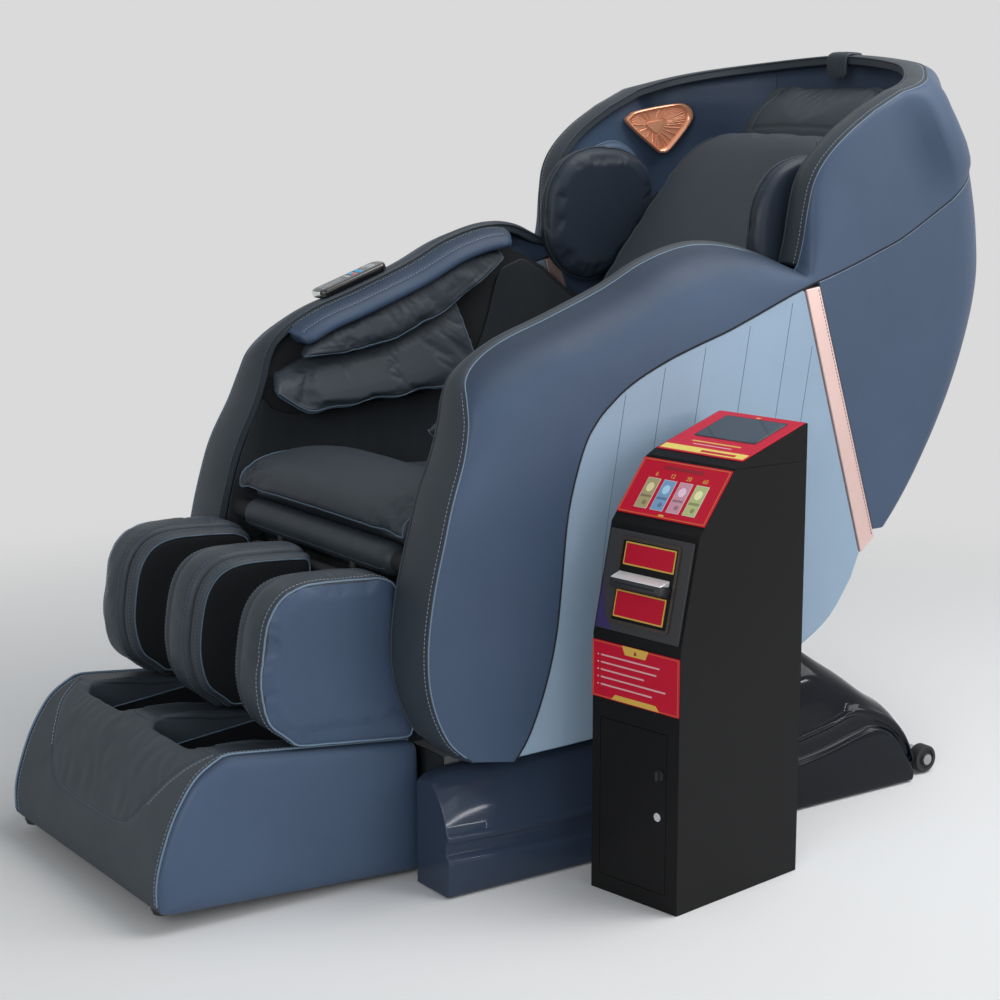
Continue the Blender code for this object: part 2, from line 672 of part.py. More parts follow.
# ---------------------------------------------------------------- base
def base_frame(look, parent):
    """Welded base: floor rails, cross tubes, tilt towers with their pins, wheel axles."""
    rear = COVER_REAR + 0.030
    body = block("base_frame", (RAIL_X - TUBE / 2, BASE_FRONT, 0.0),
                 (RAIL_X + TUBE / 2, rear, TUBE), look, parent)
    tools = [block("rail", (-RAIL_X - TUBE / 2, BASE_FRONT, 0.0),
                   (-RAIL_X + TUBE / 2, rear, TUBE), look)]
    reach = cover_in - FIT
    for y in (BASE_FRONT + 0.04, 0.0, BASE_REAR - 0.04):
        tools.append(block("cross", (-reach, y - 0.03, 0.0), (reach, y + 0.03, TUBE), look))
    axle_end = WHEEL_X - WHEEL_WIDE / 2 - FIT
    tools.append(block("tail", (-axle_end, rear - 0.028, 0.008), (axle_end, rear, 0.038), look))
    for side, tag in SIDES:
        low = (RAIL_X - TOWER_THICK / 2) * side
        high = (RAIL_X + TOWER_THICK / 2) * side
        outline = [(TILT_Y - 0.045, 0.02), (TILT_Y + 0.045, 0.02)]
        outline += [(TILT_Y + 0.026 * math.cos(math.radians(a)),
                     TILT_Z + 0.026 * math.sin(math.radians(a))) for a in range(0, 181, 20)]
        tools.append(prism("tower", outline, low, high, look))
        pin_end = (lug_out + RUN + 0.002) * side
        tools.append(rod("pin", (low, TILT_Y, TILT_Z), (pin_end, TILT_Y, TILT_Z), TILT_PIN, look,
                         None, 24))
        tools.append(rod("cap", ((lug_out + RUN) * side, TILT_Y, TILT_Z),
                         ((lug_out + 0.004) * side, TILT_Y, TILT_Z), TILT_PIN + 0.004, look,
                         None, 24))
        end = axle_end * side
        tools.append(block("arm", (min(end, end - 0.03 * side), rear - 0.010, 0.012),
                           (max(end, end - 0.03 * side), WHEEL_Y + 0.012, 0.038), look))
        out = (WHEEL_X + WHEEL_WIDE / 2 + RUN) * side
        tools.append(rod("axle", (end - 0.004 * side, WHEEL_Y, wheel_z), (out, WHEEL_Y, wheel_z),
                         AXLE_R, look, None, 16))
        tools.append(rod("axle_cap", (out, WHEEL_Y, wheel_z), (out + 0.003 * side, WHEEL_Y, wheel_z),
                         AXLE_R + 0.004, look, None, 16))
    combine(body, tools)


def base_cover(tag, side, look, parent):
    """Moulded skirt on the floor beside the base, swept to the rear, with its long ridge."""
    outer = []
    for y, foot, ridge, crease, top in resample(spline(COVER, 2), 21):
        low = 0.001
        face = [(0.377, low), (0.384, low + 0.008), (0.384, mix(low, foot, 0.8)), (0.382, foot),
                (0.376, foot + 0.006), (0.3765, ridge - 0.014), (0.3815, ridge - 0.007),
                (0.3815, ridge), (0.378, ridge + 0.005), (0.370, crease), (0.350, mix(crease, top, 0.72)),
                (0.326, top), (0.306, top - 0.002), (cover_in, top - 0.006)]
        outer.append([Vector((x, y, z)) for x, z in face])
    bm = bmesh.new()
    rings = []
    for face in outer:
        corner = Vector((cover_in, face[0].y, 0.001))
        rings.append([bm.verts.new((p.x * side, p.y, p.z)) for p in face + [corner]])
    close_rings(bm, rings)
    place("base_cover_" + tag, bm, look, parent, 35.0)


def close_rings(bm, rings):
    """Skins a stack of closed rings and caps both ends."""
    count = len(rings[0])
    for a, b in zip(rings, rings[1:]):
        for k in range(count):
            n = (k + 1) % count
            bm.faces.new((a[k], a[n], b[n], b[k]))
    bm.faces.new(rings[0])
    bm.faces.new(rings[-1])


def loft(name, rings, look, parent=None, side=1, smooth=50.0):
    """Body through a stack of rings given as (x, y, z) points."""
    bm = bmesh.new()
    made = [[bm.verts.new((p[0] * side, p[1], p[2])) for p in ring] for ring in rings]
    close_rings(bm, made)
    return place(name, bm, look, parent, smooth)


def wheel(tag, side, look, parent):
    """Transport wheel, turned on its stub axle."""
    half = WHEEL_WIDE / 2
    profile = [(AXLE_R + RUN, -half), (0.010, -half), (0.011, -half + 0.003),
               (WHEEL_R - 0.007, -half + 0.003), (WHEEL_R - 0.005, -half),
               (WHEEL_R - 0.002, -half), (WHEEL_R, -half + 0.003), (WHEEL_R, half - 0.003),
               (WHEEL_R - 0.002, half), (WHEEL_R - 0.005, half),
               (WHEEL_R - 0.007, half - 0.003), (0.011, half - 0.003), (0.010, half),
               (AXLE_R + RUN, half)]
    bm = bmesh.new()
    count = 20
    rings = []
    for k in range(count):
        turn = 2 * math.pi * k / count
        rings.append([bm.verts.new((x * side, r * math.cos(turn), r * math.sin(turn)))
                      for r, x in profile])
    for k in range(count):
        a, b = rings[k], rings[(k + 1) % count]
        for j in range(len(profile)):
            n = (j + 1) % len(profile)
            bm.faces.new((a[j], a[n], b[n], b[j]))
    place("wheel_" + tag, bm, look, parent, 40.0, False)


# ---------------------------------------------------------------- seat and back
def back_point(s, out):
    """(y, z) at a run up the back line and a distance in front of it."""
    lean = math.radians(BACK_LEAN)
    return (BACK_FOOT[0] + s * math.cos(lean) - out * math.sin(lean),
            BACK_FOOT[1] + s * math.sin(lean) + out * math.cos(lean))


def seat_frame(look, parent):
    """Pan, back stringers, massage rails, head board and tilt lugs, welded together."""
    body = block("seat_frame", (-inner_x, -0.430, PAN_TOP - PAN_THICK), (inner_x, 0.120, PAN_TOP),
                 look, parent, at_parent=True)
    tools = []
    parent_at = parent.matrix_basis.translation

    def at(point):
        return (point[0] - parent_at.x, point[1] - parent_at.y, point[2] - parent_at.z)

    for side, tag in SIDES:
        foot, head = back_point(-0.215, -RAIL_DROP), back_point(0.585, -RAIL_DROP)
        x = RAIL_HALF * side
        tools.append(rod("rail", at((x, *foot)), at((x, *head)), RAIL_R, look, None, 16))
        corners = [back_point(s, out) for s, out in
                   ((-0.190, -0.056), (-0.150, BACK_FRONT - FIT), (0.545, BACK_FRONT - FIT),
                    (0.545, -0.056))]
        corners = [(y - parent_at.y, z - parent_at.z) for y, z in corners]
        low, high = (RAIL_HALF + 0.024) * side, (RAIL_HALF + 0.036) * side
        tools.append(prism("stringer", corners, low, high, look))
        outline = [(TILT_Y - 0.150, PAN_TOP - 0.002), (TILT_Y - 0.150, PAN_TOP - 0.030)]
        outline += [(TILT_Y + 0.026 * math.cos(math.radians(a)),
                     TILT_Z + 0.026 * math.sin(math.radians(a))) for a in range(190, 391, 20)]
        outline += [(TILT_Y - 0.085, PAN_TOP - 0.002)]
        outline = [(y - parent_at.y, z - parent_at.z) for y, z in outline]
        tools.append(prism("lug", outline, lug_in * side, lug_out * side, look))
    for s in (-0.150, 0.460):
        y, z = back_point(s, -RAIL_DROP)
        tools.append(rod("bar", at((-inner_x, y, z)), at((inner_x, y, z)), 0.012, look, None, 16))
    y, z = back_point(0.585, -RAIL_DROP)
    tools.append(block("head_board", at((-RAIL_HALF - 0.015, y - 0.030, z - 0.012)),
                       at((RAIL_HALF + 0.015, y + 0.070, z)), look))
    combine(body, tools)
    bores = []
    for side, tag in SIDES:
        bores.append(rod("bore", ((lug_in - 0.004) * side, 0.0, 0.0),
                         ((lug_out + 0.004) * side, 0.0, 0.0), TILT_PIN + RUN, look, None, 24))
    combine(body, bores, "DIFFERENCE")


def bore_frame(tag, side, look):
    """Bore for the legrest shaft in the side frame."""
    target = bpy.data.objects["side_frame_" + tag]
    drill = rod("drill", ((frame_in - 0.01) * side, LEG_Y - TILT_Y, LEG_Z - TILT_Z),
                ((shaft_end + 0.001) * side, LEG_Y - TILT_Y, LEG_Z - TILT_Z), LEG_PIN + RUN, look,
                None, 20)
    combine(target, [drill], "DIFFERENCE")


def cushion_rows(rows, half, crown, steps=8):
    """Grid across x of a crowned cushion from its middle profile."""
    out = []
    for y, z, rise_y, rise_z, width in rows:
        row = []
        for k in range(steps + 1):
            u = 2.0 * k / steps - 1.0
            fall = crown * abs(u) ** 2.5
            row.append(Vector((half * width * u, y - rise_y * fall, z - rise_z * fall)))
        out.append(row)
    return out


def seat_cushion(look, parent):
    """Seat pad: crowned across, cut back at the front under the apron."""
    top = [(0.010, 0.470), (0.013, 0.505), (0.0, 0.526), (-0.04, 0.536), (-0.10, 0.542),
           (-0.20, 0.547), (-0.262, 0.549)]
    under = offset(apron_line(), APRON_THICK + 2 * FIT)[:-1]
    line = top + under
    rows = [(y, z, 0.0, 1.0, 1.0) for y, z in line] + [(-0.452, 0.500, 0.0, 0.0, 1.0)]
    outer = cushion_rows(rows, 0.235, 0.014)
    inner = []
    for y, z, *rest in rows:
        row = []
        for k in range(9):
            row.append(Vector((0.235 * (k / 4.0 - 1.0), 0.0, PAN_TOP + FIT)))
        inner.append(row)
    spread = len(rows) - 1
    for k, row in enumerate(inner):
        for point in row:
            point.y = mix(0.004, -0.430, k / spread)
    skin("seat_cushion", outer, inner, look, parent, 1, 50.0)


def apron_line():
    return resample(spline(APRON, 3), 11)


def seat_apron(look, parent):
    """Pleated apron over the front of the seat."""
    line = apron_line()
    rows = [(y, z, 0.0, 1.0, 1.0) for y, z in line]
    low = [(y, z, 0.0, 1.0, 1.0) for y, z in offset(line, APRON_THICK)]
    outer = cushion_rows(rows, 0.260, 0.0035)
    inner = cushion_rows(low, 0.260, 0.0)
    skin("seat_apron", outer, inner, look, parent, 1, 50.0)


def back_cushion(look, parent):
    """Back pad: curved foot and head, fuller at the middle."""
    rows, low = [], []
    for s, front, width in ((-0.085, 0.030, 0.96), (-0.074, 0.050, 0.985), (-0.045, 0.066, 1.0),
                            (0.02, 0.075, 1.0), (0.12, 0.077, 1.0), (0.22, 0.078, 1.0),
                            (0.32, 0.077, 1.0), (0.42, 0.076, 0.99), (0.48, 0.075, 0.95),
                            (0.525, 0.072, 0.87), (0.556, 0.062, 0.78), (0.578, 0.045, 0.70),
                            (0.586, 0.028, 0.66)):
        y, z = back_point(s, front)
        lean = math.radians(BACK_LEAN)
        rows.append((y, z, -math.sin(lean), math.cos(lean), width))
        y, z = back_point(s, BACK_FRONT)
        low.append((y, z, 0.0, 0.0, width))
    outer = cushion_rows(rows, BACK_HALF, 0.015)
    inner = cushion_rows(low, BACK_HALF, 0.0)
    skin("back_cushion", outer, inner, look, parent, 1, 50.0)


def head_cushion(look, parent):
    """Head pad against the hood's rear wall."""
    front = [(0.500, head_z), (0.494, head_z + 0.018), (0.499, 1.101), (0.521, 1.137),
             (0.560, 1.165), (0.596, 1.182)]
    back = [(0.585, head_z), (0.600, head_z + 0.022), (0.612, 1.101), (0.617, 1.130),
            (0.617, 1.155), (0.611, 1.178)]
    outer, inner = [], []
    bends = (0.006, 0.006, 0.006, 0.006, -0.004, -0.018)
    for (fy, fz), (by, bz), bend in zip(front, back, bends):
        outer.append([Vector((0.150 * u, fy + bend * u * u, fz)) for u in ROW])
        inner.append([Vector((0.150 * u, by - 0.022 * u * u, bz)) for u in ROW])
    skin("head_cushion", outer, inner, look, parent, 1, 50.0)


def head_strap(look, parent):
    """Ribbed strap over the middle of the rim, holds the head pad."""
    top = RIM_HIGH
    rim_y = RIM_Y + RIM_B
    front = rim_y - RIM_WIDE - 0.0022
    outline = [(front, top - 0.037), (front, top + 0.0020), (front + 0.006, top + 0.0047),
               (rim_y - 0.006, top + 0.0047), (rim_y - 0.006, top + 0.0077),
               (front + 0.003, top + 0.0077), (front - 0.003, top + 0.0035),
               (front - 0.003, top - 0.037)]
    prism("head_strap", outline, -0.022, 0.022, look, parent)


def arm_pad(tag, side, look, parent):
    """Blue pad along the inner half of the arm top, tucked under the narrow band."""
    out = HALF_WIDTH - 0.095 - BAND_NARROW - 0.0012
    section = [(out, 0.002), (0.252, 0.0075), (0.236, 0.019), (0.228, 0.034), (0.235, 0.042),
               (inner_x, 0.042), (inner_x, EDGE_THICK + 0.0012), (out, EDGE_THICK + 0.0012)]
    rings = []
    for (edge, seam, into), normal in zip(arm_line, edge_normals(arm_line)):
        if -0.400 < edge.y < 0.055:
            rings.append([Vector((x, edge.y, edge.z)) + normal * deep for x, deep in section])
    loft("arm_pad_" + tag, rings, look, parent, side)


def flap(name, top, low, high_x, low_x, thick, look, parent, side):
    """Hanging air flap: top line to lower line, swelling at its lower edge."""
    low = resample(spline(low, 2), len(top))
    rings = []
    for (ty, tz), (ly, lz) in zip(top, low):
        ring = []
        for v, swell in ((0.0, 0.0), (0.35, 0.003), (0.7, 0.005), (0.93, 0.003)):
            ring.append((mix(high_x, low_x, v) - swell, mix(ty, ly, v), mix(tz, lz, v)))
        ring.append((low_x + 0.006, ly, lz))
        for v in (0.93, 0.5, 0.0):
            ring.append((mix(high_x, low_x, v) + thick - 0.004 * (v > 0.9), mix(ty, ly, v),
                         mix(tz, lz, v)))
        rings.append(ring)
    loft(name, rings, look, parent, side)


def arm_flaps(tag, side, look, parent):
    tops = []
    for (edge, seam, into), normal in zip(arm_line, edge_normals(arm_line)):
        if -0.400 < edge.y < 0.030:
            point = edge + normal * (0.042 + 2 * FIT)
            tops.append((point.y, point.z))
    flap("arm_airbag_upper_" + tag, tops, FLAP_UPPER, 0.248, 0.234, 0.020, look, parent, side)
    flap("arm_airbag_lower_" + tag, resample(spline(FLAP_LOWER_TOP, 2), 11), FLAP_LOWER,
         inner_x - 0.0175, 0.228, 0.0175, look, parent, side)


def shoulder_pads(tag, side, look, parent):
    wall = HALF_WIDTH - WING_THICK - FIT
    pillow("shoulder_airbag_outer_" + tag, ring_spline(PAD_OUTER), wall, wall - 0.036, look,
           parent, side)
    pillow("shoulder_airbag_inner_" + tag, ring_spline(PAD_INNER), wall - 0.036 - FIT, wall - 0.078,
           look, parent, side)


def speaker(tag, side, look, parent):
    """Copper speaker grille on the hood wall: rounded triangle, turned with the wall."""
    outline = ring_spline(SPEAKER, 3)
    bm = bmesh.new()
    rings = []
    for depth, size in ((0.0, 1.0), (0.008, 1.0), (0.011, 0.95), (0.011, 0.86), (0.0085, 0.82)):
        rings.append([bm.verts.new((-depth, y * size, z * size)) for y, z in outline])
    close_rings(bm, rings)
    turn = Matrix.Rotation(math.radians(12.0), 4, "Z")
    move = Matrix.Translation((0.3250, 0.4420, 1.1060))
    bmesh.ops.transform(bm, matrix=move @ turn, verts=bm.verts)
    for vert in bm.verts:
        vert.co.x *= side
    place("speaker_" + tag, bm, look, parent, 40.0)


# ---------------------------------------------------------------- massage mechanism
def carriage(look, parent):
    """Sliding carriage: two rail sleeves, a plate with the motor, and the disc shaft."""
    lean = Matrix.Rotation(math.radians(BACK_LEAN - 90.0), 4, "X")

    def part(low, high):
        return block("piece", low, high, look)

    half = CARRIAGE_LONG / 2
    body = part((-RAIL_HALF + 0.018, 0.032, -half), (RAIL_HALF - 0.018, 0.042, half))
    body.name = "massage_carriage"
    tools = [part((-0.085, 0.041, -0.045), (0.085, 0.080, 0.045))]
    for side, tag in SIDES:
        x = RAIL_HALF * side
        tools.append(part((x - 0.020, -0.020, -half), (x + 0.020, 0.034, half)))
    tools.append(rod("shaft", (-RAIL_HALF + 0.016, -0.012, 0.0), (RAIL_HALF - 0.016, -0.012, 0.0),
                     0.006, look, None, 16))
    for side, tag in SIDES:
        end = (KNEAD_HALF + KNEAD_THICK / 2 + RUN) * side
        tools.append(rod("collar", (end, -0.012, 0.0), (end + 0.004 * side, -0.012, 0.0), 0.010,
                         look, None, 16))
        end = (KNEAD_HALF - KNEAD_THICK / 2 - RUN) * side
        tools.append(rod("collar", (end, -0.012, 0.0), (end - 0.004 * side, -0.012, 0.0), 0.010,
                         look, None, 16))
    combine(body, tools)
    bores = []
    for side, tag in SIDES:
        x = RAIL_HALF * side
        bores.append(rod("bore", (x, 0.0, -half - 0.01), (x, 0.0, half + 0.01), RAIL_R + RUN,
                         look, None, 16))
    combine(body, bores, "DIFFERENCE")
    body.data.transform(lean)
    body.parent = parent


def massage_head(tag, side, look, parent):
    """Kneading disc, bored for the shaft, with its row of nodes as a thicker rim."""
    half = KNEAD_THICK / 2
    profile = [(0.006 + RUN, -half), (0.014, -half), (0.024, -half + 0.006),
               (KNEAD_R - 0.003, -half + 0.004), (KNEAD_R, -half + 0.009),
               (KNEAD_R, half - 0.009), (KNEAD_R - 0.003, half - 0.004),
               (0.024, half - 0.006), (0.014, half), (0.006 + RUN, half)]
    bm = bmesh.new()
    rings = []
    count = 16
    for k in range(count):
        turn = 2 * math.pi * k / count
        rings.append([bm.verts.new((x, r * math.cos(turn), r * math.sin(turn)))
                      for r, x in profile])
    for k in range(count):
        a, b = rings[k], rings[(k + 1) % count]
        for j in range(len(profile)):
            n = (j + 1) % len(profile)
            bm.faces.new((a[j], a[n], b[n], b[j]))
    place("massage_head_" + tag, bm, look, parent, 40.0, False)


# ---------------------------------------------------------------- legrest
def legrest_frame(look, parent):
    """Shaft across the arms with the two tubes the foot unit slides on."""
    body = rod("legrest_frame", (-shaft_end, 0.0, 0.0), (shaft_end, 0.0, 0.0), LEG_PIN, look,
               parent, 20, False)
    tools = []
    for side, tag in SIDES:
        x = 0.115 * side
        tools.append(rod("tube", (x, slide_y, 0.004), (x, slide_y, 0.075 - LEG_Z), 0.007, look,
                         None, 16))
    combine(body, tools)


def calf_rest(look, parent):
    """Padded channel back with the knee roll on top."""
    roll = rod("calf_rest", (-calf_in + FIT, 0.0, 0.0), (calf_in - FIT, 0.0, 0.0), ROLL_R, look,
               parent, 24, False)
    plate = block("plate", (-calf_in + FIT, CALF_FRONT_Y - LEG_Y, 0.236 - LEG_Z),
                  (calf_in - FIT, CALF_FRONT_Y + 0.022 - LEG_Y, 0.478 - LEG_Z), look)
    combine(roll, [plate])
    tools = [rod("bore", (-calf_in - 0.01, 0.0, 0.0), (calf_in + 0.01, 0.0, 0.0), LEG_PIN + FIT,
                 look, None, 20)]
    for side, tag in SIDES:
        x = 0.115 * side
        tools.append(rod("hole", (x, slide_y, 0.0045), (x, slide_y, -0.060), 0.007 + FIT, look,
                         None, 16))
    combine(roll, tools, "DIFFERENCE")


def calf_fin(name, low, high, rear, look, parent):
    """Upright calf pad with a full rounded front."""
    front = [point for point in CALF_FRONT if point[0] < rear[0][0] - 0.004]
    outline = [(-0.690, foot_top(-0.690) + LEG_GAP)] + front + rear
    made = prism(name, outline, low, high, look, parent)
    rounded(made, 0.007, 2, 50.0)


def foot_top(y):
    """Height of the foot unit's upper face."""
    a, b = FOOT_FRONT[-1], FOOT_REAR[0]
    return mix(a[1], b[1], (y - a[0]) / (b[0] - a[0]))


def foot_rest(look, parent):
    """Foot unit with its two foot wells and the bores for the slide tubes."""
    half = leg_half - FOOT_SIDE - FIT
    outline = spline(FOOT_FRONT, 2) + FOOT_REAR
    body = prism("foot_rest", outline, -half, half, look, parent)
    tools = []
    shift = parent.matrix_basis.translation
    for side, tag in SIDES:
        low, high = sorted((0.030 * side, 0.205 * side))
        bm = bmesh.new()
        foot = [(low + 0.012, -0.800), (high - 0.012, -0.800), (high - 0.012, -0.535),
                (low + 0.012, -0.535)]
        lip = [(low, -0.822), (high, -0.822), (high, -0.520), (low, -0.520)]
        rings = []
        for z, corners in ((WELL_FLOOR, foot), (0.300, lip)):
            rings.append([bm.verts.new((x, y - shift.y, z - shift.z)) for x, y in corners])
        close_rings(bm, rings)
        well = place("well", bm, look, None, 40.0)
        rounded(well, 0.022, 2, 50.0)
        tools.append(well)
        x = 0.115 * side
        tools.append(rod("bore", (x, slide_y, 0.066 - LEG_Z), (x, slide_y, 0.0), 0.007 + RUN,
                         look, None, 16))
    combine(body, tools, "DIFFERENCE")
    rounded(body, 0.005, 2, 50.0)


def foot_side(tag, side, look, parent):
    """Side cheek of the foot unit."""
    outline = spline(FOOT_FRONT, 2) + FOOT_REAR
    made = prism("foot_side_" + tag, outline, leg_half - FOOT_SIDE, leg_half, look, parent, side)
    rounded(made, 0.004, 2, 50.0)


# ---------------------------------------------------------------- remote
def remote(look, parent):
    """Hand control that lies on the right arm, with a well for its power button."""
    wide, long, thick = REMOTE
    body = block("remote_control", (-wide / 2, -long / 2, 0.0), (wide / 2, long / 2, thick), look,
                 parent, 0.0, at_parent=False)
    well = rod("well", (0.0, long * 0.30, thick - 0.004), (0.0, long * 0.30, thick + 0.01),
               0.0062 + FIT, look, None, 20)
    rounded(body, 0.004, 3)
    combine(body, [well], "DIFFERENCE")


def remote_button(look, parent):
    wide, long, thick = REMOTE
    rod("remote_button", (0.0, 0.0, -0.002), (0.0, 0.0, 0.0015), 0.0062, look, parent, 20, False)


# ---------------------------------------------------------------- kiosk
def kiosk_cabinet(look, parent):
    """Folded steel cabinet: sloped front, recess and compartment behind the door."""
    body = prism("kiosk_cabinet", KIOSK_SIDE, 0.0, KIOSK_W, look, parent, 1, False)
    low, high = DOOR_X, DOOR_X + DOOR_W
    wall = 0.004
    lip = 0.0055
    tools = [block("recess", (low - 0.001, -0.01, DOOR_Z - 0.001),
                   (high + 0.001, DOOR_T + 0.0008, DOOR_Z + DOOR_H + 0.001), look),
             block("mouth", (low + lip, -0.005, DOOR_Z + lip),
                   (high - lip, 0.012, DOOR_Z + DOOR_H - lip), look),
             block("room", (wall, DOOR_T + 0.0033, 0.010), (KIOSK_W - wall, POCKET, 0.300), look)]
    combine(body, tools, "DIFFERENCE")


def kiosk_door(look, parent):
    """Door with its lock hole and latch hole, origin on the hinge line."""
    body = block("kiosk_door", (-HINGE_IN, -DOOR_T / 2, 0.0),
                 (DOOR_W - HINGE_IN, DOOR_T / 2, DOOR_H),
                 look, parent, at_parent=False)
    tools = []
    for x, z in (LOCK_AT, LATCH_AT):
        tools.append(rod("hole", (x - DOOR_X - HINGE_IN, -0.01, z - DOOR_Z),
                         (x - DOOR_X - HINGE_IN, 0.01, z - DOOR_Z), 0.0045 + RUN, look, None, 16))
    combine(body, tools, "DIFFERENCE")


def door_turn(name, radius, head, look, parent):
    """Turning piece of the door: head in front, shank through it and a cam behind."""
    front = -DOOR_T / 2 - FIT
    body = rod(name, (0.0, front - head, 0.0), (0.0, front, 0.0), radius, look, parent, 20, False)
    cam_y = DOOR_T / 2 + 0.0052
    tools = [rod("shank", (0.0, front - 0.001, 0.0), (0.0, cam_y + 0.001, 0.0), 0.0045, look,
                 None, 16),
             block("cam", (-0.0045, cam_y - 0.0008, -0.0035), (0.0045, cam_y + 0.0012, 0.0145), look)]
    if name == "door_latch":
        tools.append(block("grip", (-0.0022, front - head - 0.006, -radius + 0.001),
                           (0.0022, front - head + 0.001, radius - 0.001), look))
    combine(body, tools)


def slope_plate(name, start, end, margin, low, high, thick, look, parent, bevel=0.0):
    """Plate on one face of the kiosk's side outline."""
    along = Vector((end[0] - start[0], end[1] - start[1]))
    run = along.length
    along /= run
    out = Vector((-along.y, along.x))
    a = Vector(start) + along * margin[0] + out * FIT
    b = Vector(start) + along * (run - margin[1]) + out * FIT
    outline = [tuple(a), tuple(b), tuple(b + out * thick), tuple(a + out * thick)]
    made = prism(name, outline, low, high, look, parent, 1, False)
    if bevel:
        rounded(made, bevel)
    return made


def note_acceptor(look, parent):
    """Note acceptor: bezel on the sloped face, protruding mouth with its slot."""
    start, end = KIOSK_SIDE[1], KIOSK_SIDE[2]
    body = slope_plate("note_acceptor", start, end, (0.016, 0.012), 0.021, 0.151, 0.005, look,
                       parent)
    slope = math.atan2(end[1] - start[1], end[0] - start[0])
    nose = block("nose", (0.034, 0.076, 0.003), (0.138, 0.094, 0.024), look)
    rounded(nose, 0.004)
    slot = block("slot", (0.048, 0.0835, -0.002), (0.124, 0.0865, 0.03), look)
    for piece in (nose, slot):
        flip = Matrix(((1, 0, 0, 0), (0, math.cos(slope), -math.sin(slope), start[0]),
                       (0, math.sin(slope), math.cos(slope), start[1]), (0, 0, 0, 1)))
        piece.data.transform(flip)
    combine(body, [nose])
    combine(body, [slot], "DIFFERENCE")


def kiosk(black, red, glass, metal, parent):
    kiosk_cabinet(black, parent)
    prism("kiosk_head", HEAD_SIDE, 0.0, KIOSK_W, black, parent, 1, False)
    slope_plate("kiosk_screen", HEAD_SIDE[3], HEAD_SIDE[2], (0.028, 0.012), 0.010,
                KIOSK_W - 0.010, PLATE, glass, parent)
    slope_plate("price_panel", KIOSK_SIDE[2], KIOSK_SIDE[3], (0.016, 0.004), 0.0005,
                KIOSK_W - 0.0005, PLATE, red, parent)
    prism("notice_panel", [(-FIT, 0.300), (-FIT, 0.387), (-FIT - PLATE, 0.387),
                           (-FIT - PLATE, 0.300)], 0.0005, KIOSK_W - 0.0005, red, parent, 1, False)
    note_acceptor(metal, parent)


# ---------------------------------------------------------------- assembly
DOOR_T = 0.003
LOCK_AT, LATCH_AT = (0.134, 0.143), (0.1365, 0.207)
APRON_THICK = 0.018
BACK_FRONT = 0.012                      # back of the back cushion, in front of the back line
CALF_FRONT_Y = -0.530
COVER_REAR = 0.464
COVER = [                               # y, plinth top, ridge, crease, top
    (-0.500, 0.060, 0.096, 0.126, 0.168), (-0.470, 0.060, 0.094, 0.128, 0.182),
    (-0.360, 0.054, 0.090, 0.130, 0.187), (-0.242, 0.049, 0.089, 0.132, 0.189),
    (-0.100, 0.053, 0.095, 0.146, 0.194), (0.020, 0.062, 0.104, 0.168, 0.211),
    (0.110, 0.071, 0.114, 0.190, 0.234), (0.190, 0.081, 0.127, 0.212, 0.264),
    (0.230, 0.086, 0.134, 0.214, 0.262), (0.270, 0.093, 0.141, 0.203, 0.238),
    (0.320, 0.104, 0.152, 0.180, 0.206), (0.370, 0.110, 0.138, 0.152, 0.170),
    (0.415, 0.090, 0.114, 0.124, 0.142), (0.445, 0.050, 0.082, 0.092, 0.106),
    (0.464, 0.020, 0.044, 0.052, 0.060),
]
ROW = [-1.0, -0.75, -0.5, -0.25, 0.0, 0.25, 0.5, 0.75, 1.0]

cover_in = 0.295
lug_in = RAIL_X + TOWER_THICK / 2 + 0.0025
lug_out = lug_in + 0.020
wheel_z = WHEEL_R + 0.0015
shaft_end = frame_in + 0.020
slide_y = -0.0125
calf_in = leg_half - FIN_WIDE
head_z = back_point(0.585, -RAIL_DROP)[1] + FIT


